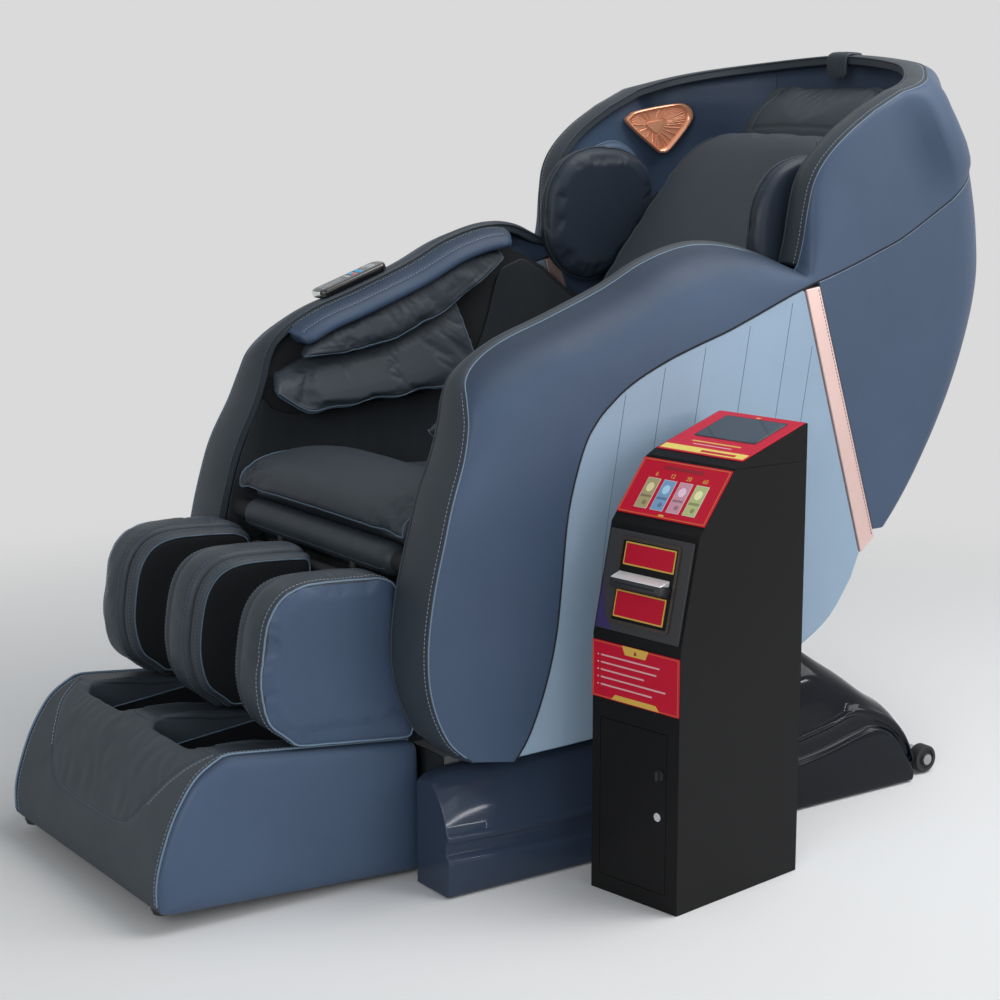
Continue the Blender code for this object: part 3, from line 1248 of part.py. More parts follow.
def build():
    clear_scene()
    slate = material("leather_slate", SLATE, 0.5)
    charcoal = material("leather_charcoal", CHARCOAL, 0.5)
    mist = material("panel_mist", MIST, 0.4)
    navy = material("gloss_navy", NAVY, 0.08)
    black = material("paint_black", BLACK, 0.35)
    trim_black = material("plastic_black", BLACK, 0.4)
    board = material("frame_board", BLACK, 0.6)
    rose = material("rose_gold", ROSE, 0.3, 0.6)
    copper = material("speaker_copper", COPPER, 0.3, 0.8)
    steel = material("steel", STEEL, 0.4, 0.9)
    rubber = material("rubber", (0.02, 0.02, 0.02), 0.8)
    red = material("panel_red", RED, 0.3)
    glass = material("screen", (0.01, 0.01, 0.012), 0.06)

    base = datum("base_datum", (0.0, 0.0, 0.0))
    base_frame(steel, base)
    capsule = datum("tilt_axis", (0.0, TILT_Y, TILT_Z))
    seat_frame(steel, capsule)
    for side, tag in SIDES:
        base_cover(tag, side, navy, base)
        hub = datum("wheel_axis_" + tag, (WHEEL_X * side, WHEEL_Y, wheel_z))
        wheel(tag, side, rubber, hub)
        side_frame(tag, side, board, capsule)
        bore_frame(tag, side, board)
        side_shell(tag, side, slate, capsule)
        side_panel(tag, side, mist, capsule)
        trim_strip(tag, side, rose, capsule)
        rear_quarter(tag, side, slate, capsule)
        arm_band(tag, side, charcoal, capsule)
        arm_pad(tag, side, slate, capsule)
        arm_flaps(tag, side, charcoal, capsule)
        shoulder_pads(tag, side, charcoal, capsule)
        speaker(tag, side, copper, capsule)
    hood_back(slate, capsule)
    hood_rim(charcoal, capsule)
    back_cover(slate, capsule)
    seat_cushion(slate, capsule)
    seat_apron(slate, capsule)
    back_cushion(slate, capsule)
    head_cushion(slate, capsule)
    head_strap(charcoal, capsule)

    y, z = back_point(0.150, -RAIL_DROP)
    slider = datum("carriage_axis", (0.0, y, z))
    carriage(steel, slider)
    y, z = back_point(0.150, -RAIL_DROP + 0.012)
    for side, tag in SIDES:
        knead = datum("knead_axis_" + tag, (KNEAD_HALF * side, y, z))
        massage_head(tag, side, trim_black, knead)

    leg = datum("legrest_axis", (0.0, LEG_Y, LEG_Z))
    legrest_frame(steel, leg)
    calf_rest(slate, leg)
    rear = [(-0.514, 0.467), (-0.486, foot_top(-0.486) + LEG_GAP)]
    calf_fin("calf_fin_left", calf_in, leg_half, rear, slate, leg)
    calf_fin("calf_fin_right", -leg_half, -calf_in, rear, slate, leg)
    rear = [(CALF_FRONT_Y - FIT, 0.474),
            (CALF_FRONT_Y - FIT, foot_top(CALF_FRONT_Y) + LEG_GAP)]
    calf_fin("calf_fin_middle", -MID_WIDE / 2, MID_WIDE / 2, rear, slate, leg)
    foot = datum("foot_slide", (0.0, LEG_Y, LEG_Z))
    foot_rest(charcoal, foot)
    for side, tag in SIDES:
        foot_side(tag, side, slate, foot)

    rest = datum("remote_rest", REMOTE_AT)
    rest.rotation_euler = (math.radians(REMOTE_TILT), 0.0, 0.0)
    remote(trim_black, rest)
    rise = Matrix.Rotation(math.radians(REMOTE_TILT), 4, "X") @ Vector(
        (0.0, REMOTE[1] * 0.30, REMOTE[2]))
    press = datum("button_press", [a + b for a, b in zip(REMOTE_AT, rise)])
    press.rotation_euler = (math.radians(REMOTE_TILT), 0.0, 0.0)
    remote_button(steel, press)

    stand = datum("kiosk_datum", (KIOSK_X, KIOSK_Y, 0.0), KIOSK_TURN)
    kiosk(black, red, glass, trim_black, stand)
    hinge = datum("door_hinge", (DOOR_X + HINGE_IN, DOOR_T / 2, DOOR_Z), 0.0, stand)
    kiosk_door(black, hinge)
    for name, place_at, radius in (("door_lock", LOCK_AT, 0.0065), ("door_latch", LATCH_AT, 0.008)):
        turn = datum(name + "_axis", (place_at[0] - DOOR_X - HINGE_IN, 0.0, place_at[1] - DOOR_Z),
                     0.0, hinge)
        door_turn(name, radius, 0.0025, steel if name == "door_lock" else trim_black, turn)


REMOTE_AT = (-0.292, -0.25572, 0.85054)    # middle of its underside, on the arm
REMOTE_TILT = 19.0

build()
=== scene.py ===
import bpy
import bmesh
from math import copysign, cos, dist, exp, pi, radians, sin, sqrt, tau
from mathutils import Matrix, Vector, noise
from mathutils.bvhtree import BVHTree
from mathutils.kdtree import KDTree


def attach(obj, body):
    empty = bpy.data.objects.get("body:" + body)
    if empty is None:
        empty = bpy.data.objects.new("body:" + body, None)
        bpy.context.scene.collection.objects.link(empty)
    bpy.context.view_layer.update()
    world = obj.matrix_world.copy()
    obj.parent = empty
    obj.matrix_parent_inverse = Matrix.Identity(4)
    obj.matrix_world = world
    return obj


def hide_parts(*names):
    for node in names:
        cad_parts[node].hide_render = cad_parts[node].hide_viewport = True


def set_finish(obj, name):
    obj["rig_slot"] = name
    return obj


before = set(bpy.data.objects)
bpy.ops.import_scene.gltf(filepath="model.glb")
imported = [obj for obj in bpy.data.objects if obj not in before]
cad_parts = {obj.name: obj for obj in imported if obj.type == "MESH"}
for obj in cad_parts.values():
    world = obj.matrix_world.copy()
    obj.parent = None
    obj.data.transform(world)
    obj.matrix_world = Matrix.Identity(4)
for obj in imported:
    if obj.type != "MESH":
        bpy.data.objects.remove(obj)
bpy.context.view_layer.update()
print("frame loaded:", len(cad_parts), "nodes")


def vec(x, y, z):
    return Vector((x, y, z))


def linked(name, data):
    made = bpy.data.objects.new(name, data)
    bpy.context.scene.collection.objects.link(made)
    return made


# camera first
view = {"place": (2.903, -2.149, 1.2), "azimuth": 55.36, "elevation": 11.16, "lens": 77.2}
cameraData = bpy.data.cameras.new("camera")
camera = linked("camera", cameraData)
cameraData.lens = view["lens"]
cameraData.sensor_width = 36.0
cameraData.clip_end = 60.0
camera.location = view["place"]
turn, lift = radians(view["azimuth"]), radians(view["elevation"])
backward = vec(sin(turn) * cos(lift), -cos(turn) * cos(lift), sin(lift))
camera.rotation_euler = backward.to_track_quat("Z", "Y").to_euler()
bpy.context.scene.camera = camera
bpy.context.scene.view_settings.view_transform = "Standard"


# shader maths: a socket with operators, and one method for any node
def feed(tree, target, value):
    # a link, a colour or a plain value into an input
    if isinstance(value, Sock):
        tree.links.new(value.socket, target)
    elif isinstance(value, tuple) and len(value) == 3 and len(target.default_value) == 4:
        target.default_value = (*value, 1.0)
    else:
        target.default_value = value


class Sock:
    def __init__(self, tree, socket=None):
        self.tree = tree
        self.socket = socket

    def node(self, kind, values=None, out=0, **settings):
        made = self.tree.nodes.new(kind)
        for key, value in settings.items():
            setattr(made, key, value)
        for key, value in (values or {}).items():
            feed(self.tree, made.inputs[key], value)
        return Sock(self.tree, made.outputs[out])

    def math(self, operation, other=0.0):
        return self.node("ShaderNodeMath", {0: self, 1: other}, operation=operation)

    def __add__(self, other):
        return self.math("ADD", other)

    def __mul__(self, other):
        return self.math("MULTIPLY", other)

    def __sub__(self, other):
        return self.math("SUBTRACT", other)

    def __rsub__(self, other):
        return self.node("ShaderNodeMath", {0: other, 1: self}, operation="SUBTRACT")

    __radd__, __rmul__ = __add__, __mul__

    def clamp(self):
        return self.node("ShaderNodeClamp", {0: self})

    def above(self, edge, soft):
        return self.node("ShaderNodeMapRange", {0: self, 1: edge - soft, 2: edge + soft},
                         interpolation_type="SMOOTHSTEP")

    def between(self, low, high, soft):
        return self.above(low, soft) * (1 - self.above(high, soft))

    def axis(self, index):
        return self.node("ShaderNodeSeparateXYZ", {0: self}, out=index)


def blendColour(mask, low, high):
    return mask.node("ShaderNodeMix", {"Factor": mask, 6: low, 7: high}, out=2, data_type="RGBA")


class Look:
    # a Principled material; varying values go in as sockets
    def __init__(self, name):
        self.material = bpy.data.materials.new(name)
        self.material.use_nodes = True
        self.tree = self.material.node_tree
        self.shader = self.tree.nodes["Principled BSDF"]
        self.place = Sock(self.tree).node("ShaderNodeTexCoord", out="Object")

    def noise(self, scale, detail=2.0, rough=0.5, stretch=None):
        where = self.place
        if stretch:
            where = self.place.node("ShaderNodeVectorMath", {0: self.place, 1: stretch}, operation="MULTIPLY")
        return self.place.node("ShaderNodeTexNoise", {"Vector": where, "Scale": scale, "Detail": detail,
                                                      "Roughness": rough})

    def cells(self, scale):
        return self.place.node("ShaderNodeTexVoronoi", {"Vector": self.place, "Scale": scale}, feature="F1")

    def set(self, **values):
        for key, value in values.items():
            feed(self.tree, self.shader.inputs[key.replace("_", " ")], value)

    def bump(self, height, strength, distance):
        self.set(Normal=height.node("ShaderNodeBump", {"Height": height, "Strength": strength,
                                                       "Distance": distance}))


def leather(name, colour, spec, other=None, chosen=None):
    # pebble grain, soft clouding, slightly glossier on the high spots; a second colour where chosen says
    look = Look(name)
    grain = look.cells(spec["grain"])
    fine = look.noise(spec["grain"] * 2.2, 3.0)
    cloud = look.noise(spec["cloud"], 4.0, 0.55)
    wear = look.noise(spec["cloud"] * 6.0, 3.0)
    dark = tuple(c * (1.0 - spec["shade"]) for c in colour)
    light = tuple(min(c * (1.0 + spec["shade"]), 1.0) for c in colour)
    tint = blendColour(cloud.above(0.5, 0.28), dark, light)
    rough = (wear - 0.5) * 0.16 + spec["rough"] + (grain - 0.3) * 0.08
    if other:
        mask = chosen(look.place)
        tint = blendColour(mask, tint, blendColour(cloud.above(0.5, 0.28), tuple(c * 0.9 for c in other),
                                                   tuple(c * 1.1 for c in other)))
        rough = rough + mask * spec["otherRough"]
    look.set(Base_Color=tint, Roughness=rough)
    look.set(Specular_IOR_Level=spec["gleam"], Coat_Weight=spec["coat"], Coat_Roughness=0.35)
    crease = look.noise(spec["crease"], 5.0, 0.6, (1.0, 1.6, 0.7))
    look.bump(grain * 0.6 + fine * 0.25 + crease * spec["fold"], 0.35, 0.0006)
    return look.material


def plain(name, colour, rough, metal=0.0, grainScale=900.0, grainSize=0.00005, coat=0.0, brush=None, gleam=0.5):
    look = Look(name)
    speck = look.noise(grainScale, 2.0, 0.5, brush)
    cloud = look.noise(6.0, 3.0)
    look.set(Base_Color=blendColour(cloud, tuple(c * 0.94 for c in colour),
                                    tuple(min(c * 1.06, 1.0) for c in colour)))
    look.set(Roughness=(speck - 0.5) * 0.12 + rough, Metallic=metal, Coat_Weight=coat, Coat_Roughness=0.04,
             Specular_IOR_Level=gleam)
    look.bump(speck, 0.4, grainSize)
    return look.material


def moulding():
    # gloss navy with painted light: a painted sheen makes it lighter and bluer under the seat front, painted shade
    # makes it near black at the rear
    look = Look("moulding navy")
    tint = blendColour(look.place.axis(1).above(-0.02, 0.16), (0.034, 0.05, 0.082), (0.002, 0.004, 0.008))
    look.set(Base_Color=tint, Roughness=look.noise(40.0) * 0.03 + 0.09, Specular_IOR_Level=0.22)
    look.bump(look.noise(9.0), 0.2, 0.0004)
    return look.material


hide = {"grain": 620.0, "cloud": 3.2, "shade": 0.1, "rough": 0.46, "gleam": 0.26, "coat": 0.03,
        "crease": 26.0, "fold": 0.5, "otherRough": 0.0}
slate, charcoal, liningBlack = (0.056, 0.088, 0.15), (0.038, 0.049, 0.061), (0.004, 0.005, 0.007)


def finFlank(place):
    return place.axis(0).math("ABSOLUTE").above(0.2698, 0.0002)


def paintedTopShade(place):
    # painted shade: the slate is darkened to half where its surface faces up, as the shell rolls over towards the
    # inside, except above a height of 0.975
    upward = place.node("ShaderNodeTexCoord", out="Normal").axis(2)
    return upward.above(0.62, 0.34) * (1 - place.axis(2).above(0.975, 0.02))


def lobeCloth(place):
    # cloth side of the calf airbags, towards the leg
    return place.axis(0).math("ABSOLUTE").between(0.0568, 0.1759, 0.0002)


def wellCloth(place):
    # inside of the foot wells, below the leather lip
    across, along, up = place.axis(0).math("ABSOLUTE"), place.axis(1), place.axis(2)
    drop = ((along * -1.0 - 0.6) * 0.21 + 0.01).math("MINIMUM", 0.052).math("MAXIMUM", 0.01)
    below = ((along + 0.801) * -0.1026 + 0.248 - drop - up).above(0.0, 0.0004)
    return below * across.between(0.0305, 0.2045, 0.0005) * along.between(-0.817, -0.524, 0.0005)


looks = {
    # slate, with painted shade darkening its upward faces
    "slate": leather("leather slate", slate, {**hide, "otherRough": 0.05}, tuple(c * 0.5 for c in slate),
                     paintedTopShade),
    "charcoal": leather("leather charcoal", charcoal, {**hide, "rough": 0.5, "fold": 0.8}),
    "soft": leather("leather charcoal soft", (0.035, 0.045, 0.056),
                    {**hide, "rough": 0.52, "fold": 1.8, "crease": 14.0}),
    "fin": leather("leather two tone", charcoal, {**hide, "rough": 0.5, "otherRough": -0.04}, slate, finFlank),
    "lobe": leather("leather and cloth", charcoal, {**hide, "rough": 0.52, "otherRough": 0.34}, liningBlack,
                    lobeCloth),
    "foot": leather("leather foot", charcoal, {**hide, "rough": 0.5, "otherRough": 0.34, "fold": 1.2}, liningBlack,
                    wellCloth),
    "mist": leather("panel mist", (0.315, 0.425, 0.55), {**hide, "shade": 0.05, "rough": 0.42, "fold": 0.2}),
    "piping": leather("piping blue", (0.17, 0.245, 0.33), {**hide, "shade": 0.05, "rough": 0.4}),
    "pipingSoft": leather("piping slate", (0.095, 0.14, 0.19), {**hide, "shade": 0.05, "rough": 0.4}),
    "thread": plain("thread pale", (0.3, 0.36, 0.42), 0.7),
    "threadDark": plain("thread dark", (0.1, 0.12, 0.15), 0.7),
    "threadBrown": plain("thread brown", (0.16, 0.07, 0.05), 0.7),
    "lining": plain("lining black", (0.006, 0.007, 0.009), 0.85),
    "navy": moulding(),
    "rose": plain("strip rose gold", (0.76, 0.54, 0.5), 0.36, 0.5, 300.0, 0.00003, 0.2, (1.0, 1.0, 0.05)),
    "copper": plain("speaker copper", (0.95, 0.43, 0.25), 0.2, 0.35, 500.0, 0.00003, 0.5),
    "black": plain("kiosk black", (0.012, 0.012, 0.0125), 0.34, 0.0, 1400.0, 0.00005, 0.0, None, 0.08),
    "darkPlastic": plain("plastic dark", (0.02, 0.021, 0.023), 0.45),
    "glass": plain("screen glass", (0.008, 0.008, 0.01), 0.08, 0.0, 30.0, 0.00001, 0.6),
    "steel": plain("steel", (0.36, 0.37, 0.38), 0.38, 0.9),
    "silver": plain("shelf silver", (0.86, 0.86, 0.87), 0.3, 0.35),
    "chrome": plain("chrome", (0.72, 0.73, 0.74), 0.14, 1.0),
    "rubber": plain("rubber", (0.018, 0.018, 0.019), 0.75),
    "red": plain("plate red", (0.56, 0.01, 0.034), 0.36, 0.0, 200.0, 0.00002, 0.0, None, 0.2),
    "gold": plain("print gold", (0.72, 0.46, 0.08), 0.35),
    "yellow": plain("print yellow", (0.83, 0.66, 0.13), 0.35),
    "white": plain("print white", (0.82, 0.8, 0.8), 0.4),
    "bronze": plain("bezel bronze", (0.06, 0.048, 0.04), 0.38, 0.4),
    "pleat": plain("pleat line", (0.13, 0.195, 0.27), 0.6),
    "violet": plain("mouth reflection", (0.035, 0.02, 0.11), 0.5),
    "orange": plain("print orange", (0.7, 0.16, 0.04), 0.35),
    "redDeep": plain("plate red deep", (0.3, 0.006, 0.02), 0.4),
    "redPale": plain("print pale", (0.74, 0.42, 0.44), 0.45),
    "crinkle": plain("crinkle grey", (0.03, 0.03, 0.033), 0.55, 0.0, 1500.0, 0.0003),
    "slateDeep": leather("leather slate deep", (0.02, 0.029, 0.044), {**hide, "fold": 1.2}),
    "liningLeather": leather("leather lining", (0.022, 0.026, 0.031), {**hide, "rough": 0.6, "fold": 2.0}),
    "handBlack": plain("remote black", (0.01, 0.01, 0.011), 0.16, 0.0, 60.0, 0.00001, 0.4),
    "handGrey": plain("remote grey", (0.16, 0.17, 0.18), 0.34, 0.3),
    "handPale": plain("remote pale", (0.42, 0.45, 0.46), 0.32, 0.3),
    "cyan": plain("key cyan", (0.05, 0.42, 0.72), 0.35),
    "keyRed": plain("key red", (0.66, 0.16, 0.18), 0.35),
    }
noteTints = {"olive": (0.42, 0.36, 0.18), "blue": (0.2, 0.36, 0.58), "pink": (0.62, 0.32, 0.4),
             "lime": (0.5, 0.56, 0.24)}
for key, tint in noteTints.items():
    looks["note" + key] = plain("note " + key, tint, 0.5)
    looks["noteDark" + key] = plain("note dark " + key, tuple(c * 0.55 for c in tint), 0.5)
    looks["notePale" + key] = plain("note pale " + key, tuple(min(c * 1.7 + 0.1, 0.9) for c in tint), 0.5)
print("looks made:", len(looks))


# body and material slot of what repeats
shellPlace = ("capsule", "leather_slate")
hidePlace = ("capsule", "leather_charcoal")
calfPlace = ("legrest", "leather_slate")
footPlace = ("foot_unit", "leather_charcoal")
mouthPlace = ("base", "plastic_black")
redPlace = ("base", "panel_red")
remotePlace = ("remote", "plastic_black")


# mesh helpers
def meshOf(name, bm):
    mesh = bpy.data.meshes.new(name)
    bm.to_mesh(mesh)
    bm.free()
    return mesh


def addMesh(name, verts, faces, look, body, slotName, smooth=60.0, node=None):
    bm = bmesh.new()
    made = [bm.verts.new(v) for v in verts]
    for face in faces:
        corners = [made[k] for k in face]
        if len(set(corners)) > 2:
            bm.faces.new(corners)
    bmesh.ops.remove_doubles(bm, verts=bm.verts, dist=0.00001)
    bmesh.ops.recalc_face_normals(bm, faces=bm.faces)
    if bm.calc_volume(signed=True) < 0.0:
        bmesh.ops.reverse_faces(bm, faces=bm.faces)
    mesh = meshOf(name, bm)
    mesh.materials.append(looks[look])
    mesh.shade_smooth()
    mesh.set_sharp_from_angle(angle=radians(smooth))
    piece = linked(name, mesh)
    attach(piece, body)
    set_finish(piece, slotName)
    if node:
        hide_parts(node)
    return piece


def soften(piece, width, segments=3, angle=40.0, clamp=False):
    bevel = piece.modifiers.new("edge", "BEVEL")
    bevel.width = width
    bevel.segments = segments
    bevel.limit_method = "ANGLE"
    bevel.angle_limit = radians(angle)
    bevel.use_clamp_overlap = clamp


def dress(node, look, edge, angle=40.0):
    # a CAD part shown as it is, with a finish and a rounded edge
    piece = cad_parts[node]
    piece.data.materials.clear()
    piece.data.materials.append(looks[look])
    soften(piece, edge, 2, angle, True)


def gridFaces(rows, cols, start=0, closed=False):
    faces = []
    for i in range(rows - 1):
        for j in range(cols if closed else cols - 1):
            n = (j + 1) % cols
            faces.append((start + i * cols + j, start + (i + 1) * cols + j, start + (i + 1) * cols + n,
                          start + i * cols + n))
    return faces


def prismFaces(count):
    return [tuple(range(count)), tuple(range(count, 2 * count)),
            *((k, (k + 1) % count, (k + 1) % count + count, k + count) for k in range(count))]


def capFaces(count, rings):
    # both ends of a stack of rings
    return [tuple(range(count)), tuple(range((rings - 1) * count, rings * count))]


def mirrored(points, side):
    return [vec(p[0] * side, p[1], p[2]) for p in points]


def shellPiece(name, outer, inner, look, body, slotName, side=1, edge=0.003, node=None):
    # closed skin between two grids with rounded borders
    rows, cols = len(outer), len(outer[0])
    verts = mirrored([p for row in outer for p in row], side) + mirrored([p for row in inner for p in row], side)
    faces = gridFaces(rows, cols) + gridFaces(rows, cols, rows * cols)
    size = rows * cols
    for i in range(rows - 1):
        for j in (0, cols - 1):
            a, b = i * cols + j, (i + 1) * cols + j
            faces.append((a, b, b + size, a + size))
    for j in range(cols - 1):
        for i in (0, rows - 1):
            a, b = i * cols + j, i * cols + j + 1
            faces.append((a, b, b + size, a + size))
    piece = addMesh(name, verts, faces, look, body, slotName, node=node)
    if edge:
        soften(piece, edge, 3, 50.0)
    return piece


def loftPiece(name, rings, look, body, slotName, side=1, smooth=60.0, node=None):
    # body through a stack of closed rings, capped at both ends
    count = len(rings[0])
    verts = mirrored([p for ring in rings for p in ring], side)
    faces = gridFaces(len(rings), count, 0, True) + capFaces(count, len(rings))
    return addMesh(name, verts, faces, look, body, slotName, smooth, node)


def spline(points, perSpan=4):
    ends = [points[0]] + list(points) + [points[-1]]
    out = []
    for index in range(1, len(ends) - 2):
        p0, p1, p2, p3 = ends[index - 1:index + 3]
        for step in range(perSpan):
            t = step / perSpan
            out.append(tuple(0.5 * (2 * b + (c - a) * t + (2 * a - 5 * b + 4 * c - d) * t * t
                                    + (3 * b - a - 3 * c + d) * t ** 3) for a, b, c, d in zip(p0, p1, p2, p3)))
    out.append(tuple(points[-1]))
    return out


def loopSpline(points, perSpan=4):
    loop = [points[-1]] + list(points) + [points[0], points[1]]
    return spline(loop, perSpan)[perSpan:-perSpan - 1]


def resample(points, count):
    runs = [0.0]
    for a, b in zip(points, points[1:]):
        runs.append(runs[-1] + dist(a, b))
    out, k = [], 1
    for step in range(count):
        goal = runs[-1] * step / (count - 1)
        while k < len(runs) - 1 and runs[k] < goal - 1e-9:
            k += 1
        share = (goal - runs[k - 1]) / max(runs[k] - runs[k - 1], 1e-9)
        out.append(tuple(a + (b - a) * share for a, b in zip(points[k - 1], points[k])))
    return out


def lengthOf(points):
    return sum(dist(a, b) for a, b in zip(points, points[1:]))


def mix(a, b, share):
    return a + (b - a) * share


def beside(line, k):
    # neighbours of a point, or the point itself at an end
    return line[max(k - 1, 0)], line[min(k + 1, len(line) - 1)]


def circle(cu, cv, ru, rv, count):
    return [(cu + ru * cos(a), cv + rv * sin(a)) for a in (2 * pi * k / count for k in range(count))]


def spread(count):
    # even steps from -1 to 1
    return [k / ((count - 1) / 2) - 1.0 for k in range(count)]


def smoothStep(value):
    value = min(max(value, 0.0), 1.0)
    return value * value * (3.0 - 2.0 * value)


def table(rows, key):
    for low, high in zip(rows, rows[1:]):
        if key <= high[0]:
            share = (key - low[0]) / (high[0] - low[0])
            return tuple(mix(a, b, share) for a, b in zip(low[1:], high[1:]))
    return rows[-1][1:]


def tube(name, path, radius, look, body, slotName, side=1, sides=8, closed=False):
    # frames carried along the path without twist
    path = [Vector(p) for p in path]
    count = len(path)
    rings, normal = [], None
    for k in range(count):
        a = path[(k - 1) % count] if closed else path[max(k - 1, 0)]
        b = path[(k + 1) % count] if closed else path[min(k + 1, count - 1)]
        along = (b - a).normalized()
        if normal is None:
            seed = vec(0, 0, 1) if abs(along.z) < 0.9 else vec(1, 0, 0)
            normal = (seed - along * seed.dot(along)).normalized()
        else:
            normal = (normal - along * normal.dot(along)).normalized()
        across = along.cross(normal)
        size = radius(k / max(count - 1, 1)) if callable(radius) else radius
        rings.append([path[k] + (normal * cos(a) + across * sin(a)) * size
                      for a in (2 * pi * s / sides for s in range(sides))])
    verts = mirrored([p for ring in rings for p in ring], side)
    faces = gridFaces(len(rings), sides, 0, True)
    if closed:
        last = (len(rings) - 1) * sides
        for j in range(sides):
            n = (j + 1) % sides
            faces.append((last + j, j, n, last + n))
    else:
        faces += capFaces(sides, len(rings))
    return addMesh(name, verts, faces, look, body, slotName)


def stitches(name, path, look, body, slotName, side=1, run=0.0042, gap=0.0022, radius=0.00055):
    # a row of thread stitches lying on the path
    path = resample(path, max(int(lengthOf(path) / (run + gap)), 2) * 2 + 1)
    verts, faces = [], []
    for k in range(0, len(path) - 2, 2):
        a, b = Vector(path[k]), Vector(path[k + 1])
        b = a.lerp(b, 2 * run / (run + gap)) if b != a else b
        along = (b - a).normalized()
        seed = vec(0, 0, 1) if abs(along.z) < 0.8 else vec(0, 1, 0)
        n1 = (seed - along * seed.dot(along)).normalized()
        n2 = along.cross(n1)
        base = len(verts)
        for t, size in ((0.0, 0.45), (0.18, 1.0), (0.82, 1.0), (1.0, 0.45)):
            centre = a.lerp(b, t)
            for turn in range(5):
                angle = 2 * pi * turn / 5
                verts.append(centre + (n1 * cos(angle) + n2 * sin(angle)) * radius * size)
        faces += gridFaces(4, 5, base, True)
        faces.append(tuple(range(base, base + 5)))
        faces.append(tuple(range(base + 15, base + 20)))
    return addMesh(name, mirrored(verts, side), faces, look, body, slotName)


sides = ((1, "Left", "_left"), (-1, "Right", "_right"))


# shape tables shared by the skins, metres
size = {"half": 0.385, "skin": 0.0647, "edge": 0.014, "frameIn": 0.285, "frameOut": 0.32,
        "innerX": 0.2847, "wing": 0.045, "back": 0.03, "seam": 0.003, "joint": 60.0, "rimIn": 0.017,
        "rimY": 0.395, "rimB": 0.25, "rimLow": 1.176, "rimHigh": 1.236, "seamLow": 1.0, "seamHigh": 1.085,
        "stripTop": 0.869, "stripLow": 0.44, "bulge": 0.01, "coverIn": 0.295}
armEdge = [
    (0.0, -0.458, 0.206, -0.382, 0.193), (0.0, -0.5, 0.245, -0.355, 0.23),
    (0.0, -0.528, 0.31, -0.327, 0.296), (0.0, -0.535, 0.38, -0.307, 0.371),
    (0.001, -0.525, 0.46, -0.297, 0.45), (0.003, -0.503, 0.545, -0.288, 0.54),
    (0.008, -0.486, 0.597, -0.279, 0.587), (0.019, -0.459, 0.656, -0.264, 0.637),
    (0.03, -0.444, 0.702, -0.25, 0.67), (0.046, -0.436, 0.736, -0.237, 0.689),
    (0.072, -0.421, 0.765, -0.222, 0.706), (0.088, -0.388, 0.791, -0.205, 0.72),
    (0.093, -0.338, 0.816, -0.184, 0.736), (0.095, -0.26, 0.842, -0.15, 0.755),
    (0.095, -0.155, 0.881, -0.095, 0.778), (0.095, -0.078, 0.917, -0.04, 0.796),
    (0.093, -0.01, 0.937, 0.02, 0.814), (0.087, 0.045, 0.941, 0.07, 0.832),
    (0.073, 0.1, 0.932, 0.115, 0.849), (0.053, 0.15, 0.913, 0.155, 0.864),
    (0.037, 0.186, 0.896, 0.188, 0.875)]
wingEdge = [
    (0.033, 0.19, 0.906, 0.2, 0.879), (0.026, 0.194, 0.945, 0.222, 0.885),
    (0.021, 0.197, 0.99, 0.252, 0.894), (0.018, 0.206, 1.035, 0.29, 0.906),
    (0.016, 0.229, 1.072, 0.335, 0.922), (0.014, 0.272, 1.11, 0.385, 0.94),
    (0.015, 0.33, 1.146, 0.44, 0.968)]
rearRows = [
    (0.3, 0.21, 0.04), (0.367, 0.316, 0.05), (0.462, 0.432, 0.07), (0.547, 0.523, 0.1),
    (0.654, 0.615, 0.14), (0.755, 0.683, 0.18), (0.857, 0.719, 0.2), (0.943, 0.719, 0.208),
    (1.011, 0.708, 0.212), (1.062, 0.694, 0.214), (1.1, 0.68, 0.216)]
rearFine = spline(rearRows, 6)
stripFront, stripRear = (0.181, 0.31), (0.211, 0.326)
panelBottom = [(0.301, 0.385), (0.255, 0.325), (0.19, 0.284), (0.11, 0.248), (0.02, 0.224),
               (-0.1, 0.208), (-0.24, 0.201), (-0.368, 0.198)]
apronRow = [(-0.284, 0.57), (-0.33, 0.581), (-0.38, 0.587), (-0.43, 0.585), (-0.47, 0.574),
            (-0.493, 0.552), (-0.498, 0.526)]
calfFront = [(-0.706, 0.256), (-0.736, 0.284), (-0.749, 0.338), (-0.744, 0.397), (-0.732, 0.441),
             (-0.708, 0.471), (-0.67, 0.485), (-0.61, 0.485), (-0.545, 0.48), (-0.518, 0.47)]
footFront = [(-0.914, 0.029), (-0.913, 0.08), (-0.899, 0.13), (-0.878, 0.178), (-0.846, 0.222),
             (-0.801, 0.248)]
footRear = [(-0.489, 0.216), (-0.477, 0.205), (-0.47, 0.007)]
turnStep = 4.0


def hull(phi, z, inset=0.0):
    rearY, depth = table(rearFine, z)
    turn = radians(phi)
    return vec((size["half"] - inset) * cos(turn), rearY - depth + (depth - inset) * sin(turn), z)


def seamHeight(phi):
    share = min(phi, 180.0 - phi) / 90.0
    return mix(size["seamLow"], size["seamHigh"], 1.0 - (1.0 - share) ** 2.2)


def rimPoint(phi):
    share = min(phi, 180.0 - phi) / 90.0
    turn = radians(phi)
    return vec((size["half"] - size["rimIn"]) * cos(turn), size["rimY"] + size["rimB"] * sin(turn),
               mix(size["rimLow"], size["rimHigh"], 1.0 - (1.0 - share) ** 1.4))


def inward(phi):
    turn = radians(phi)
    return -vec(cos(turn) / size["half"], sin(turn) / size["rimB"], 0.0).normalized()


def stations(rows, span=6):
    out = []
    for dx, y, z, seamY, seamZ in spline(rows, span):
        out.append((vec(size["half"] - dx, y, z), vec(size["half"], seamY, seamZ),
                    vec(-1.0, 0.0, 0.0)))
    return out


def turnStations(first, last, step):
    count = round((last - first) / step)
    return [(rimPoint(phi), hull(phi, seamHeight(phi)), inward(phi))
            for phi in (mix(first, last, k / count) for k in range(count + 1))]


